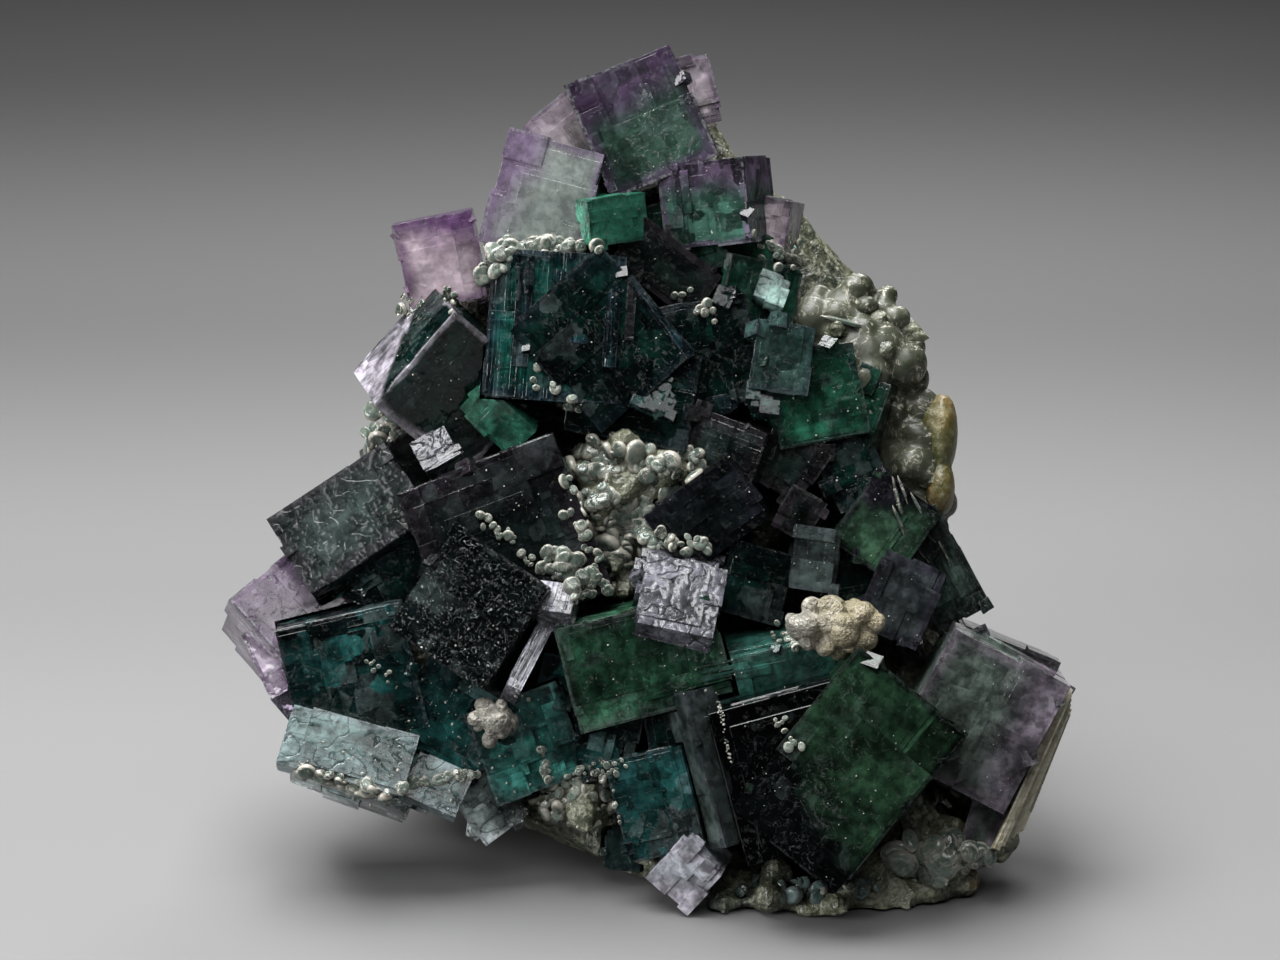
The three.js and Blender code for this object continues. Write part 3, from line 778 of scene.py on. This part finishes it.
def fluoriteMaterial(name, zones, skin, look):
    material, tree = startMaterial(name)
    colours = addNode(tree, 'ShaderNodeGroup', node_tree=zones)
    for label in ("Veil", "Cloud", "Windows"):
        colours.inputs[label].default_value = look[label.lower()]
    relief = addNode(tree, 'ShaderNodeGroup', node_tree=skin)
    relief.inputs['Relief'].default_value = look["relief"]
    surface = addNode(tree, 'ShaderNodeBsdfPrincipled', {
        'Base Color': colours.outputs['Color'], 'Roughness': relief.outputs['Roughness'],
        'Metallic': 0.0, 'IOR': refraction["fluorite"], 'Specular IOR Level': look["specular"],
        'Transmission Weight': look["transmission"],
        'Normal': bumpNode(tree, relief.outputs['Height'], 0.001)})
    volume = addNode(tree, 'ShaderNodeVolumeAbsorption', {
        'Color': (*look["absorb"], 1), 'Density': look["density"]})
    addNode(tree, 'ShaderNodeOutputMaterial', {'Surface': surface.outputs[0], 'Volume': volume.outputs[0]})
    return material


def quartzMaterial(name, look):
    material, tree = startMaterial(name)
    where = addNode(tree, 'ShaderNodeTexCoord').outputs['Object']
    where = stretchSpot(tree, where, (1000, 1000, 1000))  # metres to mm
    milk = paint(look["milk"])
    cloud = noiseNode(tree, where, 0.12, 5, 0.6)
    colour = mixColour(tree, mapRange(tree, cloud, 0.35, 0.65), paint(look["dark"]), paint(look["pale"]))
    fine = noiseNode(tree, where, 0.9, 4, 0.6)
    colour = mixColour(tree, mapRange(tree, fine, 0.45, 0.7, 0.0, look["milkShare"]), colour, milk)
    if "stain" in look:
        # brown towards the right, from a place in mm on
        x = mathNode(tree, 'MULTIPLY_ADD', cloud, 12.0, split(tree, where)[0])
        side = mapRange(tree, x, look["stainFrom"], look["stainFrom"] + 8)
        colour = mixColour(tree, side, colour, paint(look["stain"]))
    # painted light on the copies: painted shade darkens each copy towards its foot, where copies meet, and a
    # painted highlight lays the milk colour on its rim; each copy also takes its own random tone
    if "edge" in look:
        edge, tone, up = split(tree, attribute(tree, "copyLightAndTone"))
        shade = multiply(tree, mapRange(tree, tone, 0.0, 1.0, 0.7, 1.35, smooth=False),
                         mapRange(tree, up, 0.3, 1.0, 0.5, 1.05, smooth=False))
        colour = scaleVector(tree, colour, shade)
        colour = mixColour(tree, multiply(tree, edge, look["edge"]), colour, milk)
    if "bands" in look:
        tone = split(tree, attribute(tree, "crystalZones"))[2]
        shade = mapRange(tree, tone, 0.0, 1.0, look["bands"], 1.1, smooth=False)
        colour = scaleVector(tree, colour, shade)
    if "wisps" in look:
        wisp = ridge(tree, noiseNode(tree, where, 0.32, 3, 0.6, 1.2), 0.025)
        wisp = multiply(tree, wisp, mapRange(tree, fine, 0.42, 0.6), look["wisps"])
        colour = mixColour(tree, wisp, colour, milk)
    relief = noiseNode(tree, where, look["grain"], 3, 0.65)
    surface = addNode(tree, 'ShaderNodeBsdfPrincipled', {
        'Base Color': colour, 'Roughness': mapRange(tree, fine, 0.3, 0.7, *look["rough"]),
        'Metallic': 0.0, 'IOR': refraction["quartz"], 'Specular IOR Level': look["shine"],
        'Transmission Weight': look["transmission"],
        'Normal': bumpNode(tree, relief, 0.001 * look["relief"])})
    if "glow" in look:
        surface.inputs['Subsurface Weight'].default_value = look["glow"]
        surface.inputs['Subsurface Radius'].default_value = (1.0, 0.95, 0.9)
        surface.inputs['Subsurface Scale'].default_value = 0.0015
    addNode(tree, 'ShaderNodeOutputMaterial', {'Surface': surface.outputs[0]})
    return material


# Mounds that follow the solids' own: x, y, z, across, thick, high, then how many, radius,
# the shape that stands there and its finish.
druseMounds = {
    "druse_middle": [[[0, 5, -3, 22, 12, 24], 170, 1.75, "knob", "glassy"]],
    "druse_right_rim": [
        [[28.5, 12, 16, 15, 10, 20], 40, 3.2, "globe", "olive"],
        [[37, 14, 0.5, 8.5, 12, 18], 26, 3.0, "globe", "olive"]],
    "druse_crown_row": [
        [[-13, 6, 30, 16, 8, 5], 46, 1.1, "knob", "glassy"],
        [[18, 10, 31, 7, 6, 6], 26, 1.0, "knob", "glassy"]],
    "druse_left": [
        [[-33, 10, 6, 8, 8, 10], 30, 1.3, "knob", "glassy"],
        [[-28, 12, 23, 9, 8, 6], 26, 1.1, "knob", "glassy"]],
    "druse_low_right": [
        [[37, 2, -49, 13, 14, 13], 80, 1.7, "knob", "olive"],
        [[44, 4, -45.5, 9, 8, 11], 40, 2.0, "knob", "olive"]],
    "druse_foot": [[[21, -2, -54, 27, 14, 6], 120, 1.4, "knob", "slate"]],
    "druse_low_middle": [[[-8, 0, -39, 14, 10, 12], 80, 1.1, "knob", "glassy"]],
}
tuftMounds = {
    "tuft_right": ["quartz_tuft_right", [24.3, -12.2, -18.4, 10.5, 7, 5.4], 46, 1.7],
    "tuft_left": ["quartz_tuft_left", [-18.5, -9.4, -30.5, 4.8, 4, 4.4], 16, 1.5],
}
# Swollen lumps at the right rim, centre and half sizes; the last is stained brown.
rimLumps = {
    "lumps_rim": ["olive", [
        [33.6, 8, 19.5, 2.6, 3, 2.4], [35.6, 9, 15.4, 2.7, 3, 2.6], [32.0, 7, 15.8, 2.1, 3, 2.3],
        [36.6, 10, 11.2, 2.2, 3, 2.8], [34.2, 8, 11.6, 1.8, 3, 2.4], [29.8, 8, 21.4, 2.2, 3, 2.0]]],
    "lump_stained": ["ochre", [
        [39.8, 9, 0.6, 2.7, 5, 7.2], [39.6, 8, -5.0, 2.4, 4, 5.0], [38.6, 9, 4.6, 2.2, 4, 4.0]]],
}

# Small quartz laid over the cubes in strokes: from x, z to x, z, how wide, how many,
# smallest and largest radius. The spots are found on the cubes' own faces.
strokes = {
    "film_middle": ["knob", "glassy", [
        [-6.5, 4, -5.2, -10.4, 6.0, 90, 0.6, 1.5], [-3.9, 3.2, 7.8, 1.3, 3.5, 46, 0.7, 1.7],
        [0, -6.8, 9, -9.2, 2.6, 34, 0.6, 1.3], [-11.5, -9.5, -4.5, -15.6, 3.2, 34, 0.7, 1.5],
        [-20.8, -4.2, -7.2, -15.4, 1.8, 40, 0.4, 0.9], [-14.3, 13.6, -8, 9.2, 2.6, 14, 0.5, 0.9],
        [5.5, 24.5, 9.5, 21.5, 2.6, 12, 0.4, 0.8], [16.5, -18.7, 20.6, -22.0, 2.6, 16, 0.4, 0.8]]],
    "film_crown": ["knob", "glassy", [
        [-20.8, 27, -17, 30, 3.0, 30, 0.7, 1.5], [-15, 31, -5, 30.2, 1.2, 34, 0.7, 1.3],
        [15.6, 31.5, 20.8, 28.6, 2.6, 22, 0.4, 0.8], [-26, 25, -24, 22.5, 1.8, 12, 0.4, 0.9]]],
    "film_low_left": ["knob", "glassy", [
        [-43, -37, -32, -40.5, 1.6, 60, 0.4, 1.5], [-31, -39, -21, -37.5, 1.0, 50, 0.3, 1.0],
        [-12.3, -35, -10.5, -45, 1.6, 40, 0.3, 0.7], [-9, -38, -2, -36, 1.6, 26, 0.3, 0.6],
        [-4.5, -38, -3, -44.5, 1.4, 26, 0.3, 0.7], [-35, -22.8, -31, -26, 1.6, 8, 0.3, 0.6],
        [15.6, -28.6, 20.0, -33.8, 2.2, 10, 0.3, 0.7], [-16, -26, -13, -29, 1.2, 5, 0.3, 0.5]]],
    "film_low_right": ["knob", "glassy", [
        [33, -50, 45, -48.6, 5.0, 60, 1.2, 2.4], [22, -53, 34, -54, 3.0, 40, 0.9, 1.6]]],
    "grains": ["grain", "white", [
        [-16, 20, 12, 14, 22, 70, 0.06, 0.16], [-14, -12, -26, -22, 12, 30, 0.06, 0.14],
        [-26, 2, -10, -4, 10, 26, 0.06, 0.16], [2, 0, 16, -6, 9, 20, 0.06, 0.14],
        [-8, -21, 12, -24, 12, 50, 0.06, 0.18], [-44, -22, -12, -34, 18, 90, 0.06, 0.2],
        [9.8, -27, 12.4, -41.6, 0.5, 46, 0.1, 0.2], [14, -30, 34, -44, 22, 40, 0.06, 0.14],
        [-8, 44, 8, 40, 16, 24, 0.06, 0.12], [18, 22, 32, -4, 16, 50, 0.06, 0.16],
        [-44, -5, -30, -8, 12, 14, 0.06, 0.14], [-44, -36, -12, -42, 10, 120, 0.08, 0.26],
        [-34, 16, -16, 8, 12, 20, 0.06, 0.14], [36, -22, 50, -38, 16, 14, 0.06, 0.12],
        [14, -8, 38, -18, 12, 36, 0.06, 0.14]]],
    "splinters": ["splinter", "glassy", [
        [20.8, 22.4, 30, 19.6, 0.8, 5, 0.9, 1.5], [35, 13, 39, 4, 2.0, 7, 0.5, 0.8],
        [33, -1, 39, -12, 3.0, 9, 0.5, 0.9]]],
}


def startShape(sides, radius, depth, top):
    # the first prism of a small crystal; its top face stays selected
    bpy.ops.object.select_all(action='DESELECT')
    bpy.ops.mesh.primitive_cylinder_add(vertices=sides, radius=radius, depth=depth,
                                        location=(0, 0, depth / 2), enter_editmode=True)
    piece = bpy.context.object
    pickFace(piece, (0, 0, 1))
    bpy.ops.transform.resize(value=(top, top, 1))
    return piece


def raiseTop(rise, size, aside=0.0):
    pushOut((aside, 0, rise))
    bpy.ops.transform.resize(value=(size, size, 1))


def endShape(piece, bevel=0):
    bpy.ops.object.mode_set(mode='OBJECT')
    applyPlace(piece)
    if bevel:
        applyModifier(piece, 'BEVEL', width=bevel, segments=1, limit_method='ANGLE')
    return piece


def roundOff(piece):
    endShape(piece)
    applyModifier(piece, 'SUBSURF', levels=1, render_levels=1)
    pickOnly(piece)
    bpy.ops.object.shade_smooth()
    return piece


def modelKnob():
    # a low rounded lobe of quartz, dented on top
    piece = startShape(7, 0.92, 0.5, 1.08)
    raiseTop(0.26, 0.86, 0.06)
    raiseTop(0.16, 0.66, 0.05)
    raiseTop(-0.06, 0.5)
    return roundOff(piece)


def modelGlobe():
    # a smooth swollen lump
    piece = startShape(8, 0.55, 0.5, 1.75)
    raiseTop(0.6, 0.98, 0.05)
    raiseTop(0.45, 0.5)
    return roundOff(piece)


def modelGrain():
    # a tiny squat crystal
    piece = startShape(5, 0.8, 0.9, 1.0)
    raiseTop(0.6, 0.4)
    return endShape(piece)


def modelSplinter():
    # a flat splinter with two slanted points, lying along x
    piece = addCube((2.4, 1.3, 0.4), enter_editmode=True)
    for side in (1, -1):
        pickFace(piece, (side, 0, 0))
        pushOut((side * 1.5, side * 0.5, 0))
        bpy.ops.transform.resize(value=(1, 0.15, 0.3))
    return endShape(piece, 0.06)


rimHighlight = {"from": 0.8, "over": 0.15}  # the painted highlight on the rim of a lobe, as shares of its radius


def standCopies(name, master, places):
    # one joined mesh of a small shape that stands at many places; every corner knows if it
    # is on the rim, for a painted highlight, the tone of its copy, and how high it is, for painted shade at
    # its foot
    mesh = master.data
    own = pointsOf(mesh)
    loops = [list(face.vertices) for face in mesh.polygons]
    heightsForShade = np.clip(own[:, 2] / own[:, 2].max(), 0, 1)
    out = np.hypot(own[:, 0], own[:, 1])
    rimHighlightShares = np.clip((out / out.max() - rimHighlight["from"]) / rimHighlight["over"], 0, 1)
    marks = [(rimHighlightShares[v], heightsForShade[v]) for face in mesh.polygons for v in face.vertices]
    chance = random.Random(name)
    spots, faces, lightAndTones = [], [], []
    for i, place in enumerate(places):
        turn = np.array(place)
        spots.append(own @ turn[:3, :3].T + turn[:3, 3])
        faces += [[v + i * len(own) for v in loop] for loop in loops]
        tone = chance.random()
        lightAndTones += [(edge, tone, up) for edge, up in marks]
    joined = bpy.data.meshes.new(name)
    joined.from_pydata(np.concatenate(spots).tolist(), [], faces)
    joined.polygons.foreach_set("use_smooth", [face.use_smooth for face in mesh.polygons] * len(places))
    writeCorners(joined, "copyLightAndTone", lightAndTones)
    return addToScene(bpy.data.objects.new(name, joined))


def fuse(piece, voxel, smooth):
    # runs the copies together into one lumpy skin
    applyModifier(piece, 'REMESH', mode='VOXEL', voxel_size=voxel, use_smooth_shade=True)
    applyModifier(piece, 'SMOOTH', iterations=smooth, factor=0.5)
    return piece


def standUp(spot, aim, girth, chance, sunk=0.6):
    # the place of a small shape that grows out of a spot along a direction
    turn = Vector(aim).to_track_quat('Z', 'Y').to_matrix().to_4x4()
    spin = Matrix.Rotation(chance.uniform(0, math.pi), 4, 'Z')
    stretch = Matrix.Diagonal([girth * chance.uniform(0.75, 1.3) for _ in range(3)] + [1])
    return Matrix.Translation(Vector(spot) - Vector(aim).normalized() * girth * sunk) @ turn @ spin @ stretch


def aboveFloor(place, radius):
    return (toWorld @ place.translation).z > radius * 0.0011


# Places on a mound wind outwards by the golden angle, and the mound is this flat at its rim.
mound = {"turn": 2.39996, "flat": 0.85, "least": 0.5, "most": 1.25}


def moundPlaces(form, count, radius, chance):
    x, y, z, across, thick, high = form
    places = []
    for i in range(count):
        out = math.sqrt((i + 0.5) / count)
        angle = i * mound["turn"] + chance.uniform(-0.3, 0.3)
        front = -math.sqrt(1 - mound["flat"] * out * out)
        way = Vector((out * math.cos(angle), front, out * math.sin(angle)))
        spot = Vector((x + way.x * across / 2, y + way.y * thick / 2, z + way.z * high / 2))
        aim = way + Vector([chance.uniform(-0.5, 0.5) for _ in range(3)])
        girth = radius * chance.uniform(mound["least"], mound["most"])
        places.append(standUp(spot, aim, girth, chance))
    return [place for place in places if aboveFloor(place, 1.3 * radius)]


# Grains up to this size gather in so many clumps; a stroke is looked for from this far out.
stroking = {"grain": 0.3, "clumps": 5, "clumpWidth": 0.07, "spread": 0.28, "from": -60}


def strokePlaces(stroke, surface, lying, chance):
    # spots along a stroke, found by looking into the rock from the front
    x0, z0, x1, z1, wide, count, least, most = stroke
    clumps = [chance.uniform(0, 1) for _ in range(stroking["clumps"])]
    places = []
    for _ in range(count):
        if most > stroking["grain"]:
            t = chance.uniform(0, 1)
        else:
            t = chance.choice(clumps) + chance.gauss(0, stroking["clumpWidth"])
        x = x0 + (x1 - x0) * t + chance.gauss(0, stroking["spread"]) * wide
        z = z0 + (z1 - z0) * t + chance.gauss(0, stroking["spread"]) * wide
        spot, normal, _, _ = surface.ray_cast(Vector((x, stroking["from"], z)), Vector((0, 1, 0)))
        girth = least + (most - least) * chance.random() ** 2
        if spot is None:
            continue
        if lying:
            along = math.atan2(z1 - z0, x1 - x0) + chance.uniform(-0.35, 0.35)
            lie = Matrix.Rotation(-along, 4, 'Y') @ Matrix.Rotation(chance.uniform(-0.5, 0.5), 4, 'X')
            places.append(Matrix.Translation(spot) @ lie @ Matrix.Scale(girth, 4))
            continue
        aim = normal + Vector([chance.uniform(-0.3, 0.3) for _ in range(3)])
        places.append(standUp(spot, aim, girth, chance, 0.35))
    return [place for place in places if aboveFloor(place, 1.5 * most)]


# The rock's skin: its remesh size, then lump sizes and how far each stands out, in mm.
rockSkin = {"voxel": 0.75, "lumps": ((4.0, 0.7), (1.1, 0.35)), "level": 0.75}


def growRock():
    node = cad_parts["quartz_matrix"]
    rock = copyPiece(node)
    rock.parent = None
    for key in list(rock.keys()):
        if key.startswith("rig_"):
            del rock[key]
    rock.data.transform(toFace)
    pickOnly(rock)
    bpy.ops.object.mode_set(mode='EDIT')
    bpy.ops.mesh.select_all(action='SELECT')
    bpy.ops.mesh.remove_doubles(threshold=0.001)
    bpy.ops.object.mode_set(mode='OBJECT')
    applyModifier(rock, 'REMESH', mode='VOXEL', voxel_size=rockSkin["voxel"])
    for size, strength in rockSkin["lumps"]:
        clouds = bpy.data.textures.new("rockClouds", 'CLOUDS')
        clouds.noise_scale = size
        clouds.noise_depth = 2
        applyModifier(rock, 'DISPLACE', texture=clouds, strength=strength,
                      mid_level=rockSkin["level"], texture_coords='LOCAL')
    return rock


toWorld = findFaceFrame(upperLeftCrystals[0])
toFace = toWorld.inverted()

zoneGroup = buildZoneGroup()
skinGroup = buildSkinGroup()
fluoriteLooks = {
    "violet": {"veil": 1.0, "cloud": 0.5, "windows": 1.0, "relief": 0.8, "transmission": 0.6,
               "specular": 0.4, "absorb": (0.45, 0.47, 0.5), "density": 25},
    "green": {"veil": 1.0, "cloud": 1.0, "windows": 1.0, "relief": 1.0, "transmission": 0.6,
              "specular": 0.33, "absorb": (0.05, 0.45, 0.36), "density": 120},
}
fluorite = {}
for kind, look in fluoriteLooks.items():
    fluorite[kind] = fluoriteMaterial("fluorite " + kind, zoneGroup, skinGroup, look)
# Quartz finishes: three colours and how much of the milky one, then grain and relief in mm,
# and how rough, shiny and see-through it is.
quartzLooks = {
    "rock": {"dark": "2c332a", "pale": "60624f", "milk": "a0a08c", "milkShare": 0.5, "stain": "8a7040",
             "stainFrom": 46, "grain": 0.8, "relief": 0.5, "rough": (0.2, 0.5), "shine": 0.5,
             "transmission": 0.0, "glow": 0.2, "wisps": 0.5},
    "glassy": {"dark": "4c5e54", "pale": "98a89c", "milk": "fcf6e6", "milkShare": 0.3, "grain": 1.0,
               "relief": 0.06, "rough": (0.02, 0.08), "shine": 0.4, "transmission": 0.6, "edge": 0.85,
               "wisps": 0.8},
    "olive": {"dark": "6e765e", "pale": "a8ae96", "milk": "f0ecd8", "milkShare": 0.3, "grain": 0.8,
              "relief": 0.05, "rough": (0.25, 0.4), "shine": 0.06, "transmission": 0.5, "edge": 0.4,
              "wisps": 1.0},
    "slate": {"dark": "44605c", "pale": "7c9490", "milk": "c8d0c8", "milkShare": 0.3, "grain": 1.0,
              "relief": 0.1, "rough": (0.04, 0.15), "shine": 0.4, "transmission": 0.5, "edge": 0.4},
    "layers": {"dark": "989278", "pale": "dcd6bc", "milk": "fcf6e2", "milkShare": 0.8, "grain": 1.2,
               "relief": 0.4, "rough": (0.2, 0.5), "shine": 0.5, "transmission": 0.0, "bands": 0.35},
    "ochre": {"dark": "565c34", "pale": "907446", "milk": "b4b088", "milkShare": 0.4, "grain": 0.7,
              "relief": 0.3, "rough": (0.3, 0.45), "shine": 0.2, "transmission": 0.5, "wisps": 0.7},
    "white": {"dark": "98988c", "pale": "c8c6ba", "milk": "fcf8ec", "milkShare": 0.6, "grain": 1.6,
              "relief": 0.15, "rough": (0.05, 0.2), "shine": 0.5, "transmission": 0.5, "edge": 0.9},
    "cream": {"dark": "44423c", "pale": "74726a", "milk": "bcb8ae", "milkShare": 0.6, "stain": "807860",
              "stainFrom": 25, "grain": 1.3, "relief": 0.9, "rough": (0.06, 0.25), "shine": 0.4,
              "transmission": 0.0, "wisps": 0.7},
}
quartz = {name: quartzMaterial("quartz " + name, look) for name, look in quartzLooks.items()}

clusters = [
    ("fluorite_crown", crownCrystals, "violet"),
    ("fluorite_upper_left_cube", upperLeftCrystals, "violet"),
    ("fluorite_heart", heartCrystals, "green"),
    ("fluorite_shoulder", shoulderCrystals, "green"),
    ("fluorite_lower_left", lowerLeftCrystals, "green"),
    ("fluorite_far_left_cube", farLeftCrystals, "violet"),
    ("fluorite_lower_middle", lowerMiddleCrystals, "green"),
    ("fluorite_centre", centreCrystals, "green"),
    ("fluorite_lower_right", lowerRightCrystals, "green"),
]
surfaceSpots, surfaceFaces = [], []


def keepSurface(piece):
    # remembers a piece's faces, so that small quartz can be laid on them
    first = len(surfaceSpots)
    surfaceSpots.extend(v.co.copy() for v in piece.data.vertices)
    surfaceFaces.extend([first + v for v in face.vertices] for face in piece.data.polygons)


taken = groundBlock()
for node, rows, kind in clusters:
    rows = rows + strips.get(node, []) + sproutRows(node, rows)
    cluster = growCluster(node, rows, taken)
    rooms = [crystalRoom(row) for row in rows]
    boolean(taken, rooms, 'UNION')
    removePieces(*rooms)
    keepSurface(cluster)
    finishPiece(cluster, node + "_crystals", "fluorite_" + kind, fluorite[kind], node)
    print("cluster grown:", node, len(cluster.data.polygons), "faces")
layers = growCluster("edge_layers", edgeLayers, taken)
finishPiece(layers, "edge_layers", "quartz", quartz["layers"])
removePieces(taken)

rock = growRock()
keepSurface(rock)
finishPiece(rock, "quartz_rock", "quartz", quartz["rock"], "quartz_matrix")
print("rock grown:", len(rock.data.polygons), "faces")

masters = {"knob": modelKnob(), "globe": modelGlobe(), "grain": modelGrain(),
           "splinter": modelSplinter()}
fusing = {"rim": {"voxel": 0.35, "smooth": 8}, "tuft": {"voxel": 0.16, "smooth": 4}}
for name, mounds in druseMounds.items():
    chance = random.Random(name)
    places = []
    for form, count, radius, shape, finish in mounds:
        places += moundPlaces(form, count, radius, chance)
    druse = standCopies(name, masters[shape], places)
    if shape == "globe":
        fuse(druse, **fusing["rim"])
    finishPiece(druse, name, "quartz", quartz[finish])
for name, (node, form, count, radius) in tuftMounds.items():
    places = moundPlaces(form, count, radius, random.Random(name))
    tuft = fuse(standCopies(name, masters["globe"], places), **fusing["tuft"])
    finishPiece(tuft, name, "quartz_white", quartz["cream"], node)
for name, (finish, lumps) in rimLumps.items():
    places = [Matrix.Translation(lump[:3]) @ Matrix.Diagonal((*lump[3:6], 1)) for lump in lumps]
    swelling = fuse(standCopies(name, masters["globe"], places), **fusing["rim"])
    finishPiece(swelling, name, "quartz", quartz[finish])
print("druse grown")

surface = BVHTree.FromPolygons(surfaceSpots, surfaceFaces)
for name, (shape, finish, lines) in strokes.items():
    chance = random.Random(name)
    places = []
    for stroke in lines:
        places += strokePlaces(stroke, surface, shape == "splinter", chance)
    slotName = "quartz_white" if finish == "white" else "quartz"
    film = finishPiece(standCopies(name, masters[shape], places), name, slotName, quartz[finish])
    print("laid on the cubes:", name, len(film.data.polygons), "faces")
removePieces(*masters.values())

# Each light: where it is, its two sides, its power, and what it looks at.
studio = {
    "distance": 464, "lens": 100.4, "sensor": 36, "world": 0.02,
    "backdrop": 0.9, "bends": 10,
    # grey of the floor and backdrop, by how far back it is
    "greys": [(0.0, 0.175), (0.27, 0.128), (0.36, 0.105), (0.54, 0.052), (0.8, 0.018), (1.0, 0.012)],
    "bounces": {"max_bounces": 3, "diffuse_bounces": 1, "glossy_bounces": 1, "transmission_bounces": 2},
    "soft box": [(-0.14, 0.13, 0.6), (0.6, 0.5), 13.6, (0, 0.13, 0.04)],
    "top panel": [(0.0, -0.42, 0.66), (0.6, 0.3), 2.1, (0, 0, 0.04)],
    "left fill": [(-0.7, -0.3, 0.25), (0.3, 0.4), 5.0, (0, 0, 0.05)],
    "crown light": [(0.1, 0.45, 0.35), (0.25, 0.2), 1.5, (0, 0, 0.08)],
}


def paintBackdrop(name):
    material, tree = startMaterial(name)
    depth = split(tree, addNode(tree, 'ShaderNodeTexCoord').outputs['Object'])[1]
    ramp = addNode(tree, 'ShaderNodeValToRGB', {'Fac': mapRange(tree, depth, -0.2, 0.6, smooth=False)})
    ramp.color_ramp.interpolation = 'EASE'
    stops = studio["greys"]
    while len(ramp.color_ramp.elements) < len(stops):
        ramp.color_ramp.elements.new(0.5)
    for element, (place, grey) in zip(ramp.color_ramp.elements, stops):
        element.position = place
        element.color = (grey, grey, grey, 1)
    surface = addNode(tree, 'ShaderNodeBsdfPrincipled', {
        'Base Color': ramp.outputs[0], 'Roughness': 0.7, 'Metallic': 0.0})
    addNode(tree, 'ShaderNodeOutputMaterial', {'Surface': surface.outputs[0]})
    return material


def buildSweep():
    # a floor that curves up into a backdrop behind the specimen
    bpy.ops.object.select_all(action='DESELECT')
    bpy.ops.mesh.primitive_plane_add(size=4, location=(0, -1.1, 0), enter_editmode=True)
    sweep = bpy.context.object
    sweep.name = "floor_sweep"
    bpy.ops.mesh.select_mode(type='EDGE')
    bpy.ops.mesh.select_all(action='DESELECT')
    mesh = bmesh.from_edit_mesh(sweep.data)
    back = max(mesh.edges, key=lambda e: (e.verts[0].co + e.verts[1].co).y)
    back.select_set(True)
    bmesh.update_edit_mesh(sweep.data)
    half = 45 / studio["bends"]  # half of one bend, in degrees
    step = studio["backdrop"] * 2 * math.sin(math.radians(half))
    for i in range(studio["bends"]):
        angle = math.radians(half + 2 * half * i)
        pushOut((0, step * math.cos(angle), step * math.sin(angle)))
    pushOut((0, 0, 1.5))
    bpy.ops.mesh.select_mode(type='FACE')
    bpy.ops.object.mode_set(mode='OBJECT')
    applyPlace(sweep)
    bpy.ops.object.shade_smooth()
    sweep.data.materials.append(paintBackdrop("floor grey"))


def addLight(name, spot, size, power, target):
    data = bpy.data.lights.new(name, 'AREA')
    data.shape = 'RECTANGLE'
    data.size, data.size_y = size
    data.energy = power
    lamp = addToScene(bpy.data.objects.new(name, data))
    lamp.location = spot
    lamp.rotation_euler = (Vector(spot) - Vector(target)).to_track_quat('Z', 'Y').to_euler()


buildSweep()
for name in ("soft box", "top panel", "left fill", "crown light"):
    addLight(name, *studio[name])
world = bpy.data.worlds.new("studio")
world.use_nodes = True
world.node_tree.nodes["Background"].inputs[0].default_value = (studio["world"],) * 3 + (1,)
bpy.context.scene.world = world

lens = bpy.data.cameras.new("camera")
lens.lens = studio["lens"]
lens.sensor_width = studio["sensor"]
lens.clip_start = 0.01
camera = addToScene(bpy.data.objects.new("camera", lens))
cameraSpot = Matrix.Translation(toWorld @ Vector((0, -studio["distance"], 0)))
camera.matrix_world = cameraSpot @ Matrix.Rotation(math.radians(90 - faceFrame["lean"]), 4, 'X')
bpy.context.scene.camera = camera
bpy.context.scene.view_settings.view_transform = 'Standard'
for key, value in studio["bounces"].items():
    setattr(bpy.context.scene.cycles, key, value)
bpy.context.scene.cycles.caustics_reflective = False
bpy.context.scene.cycles.caustics_refractive = False
print("studio set")
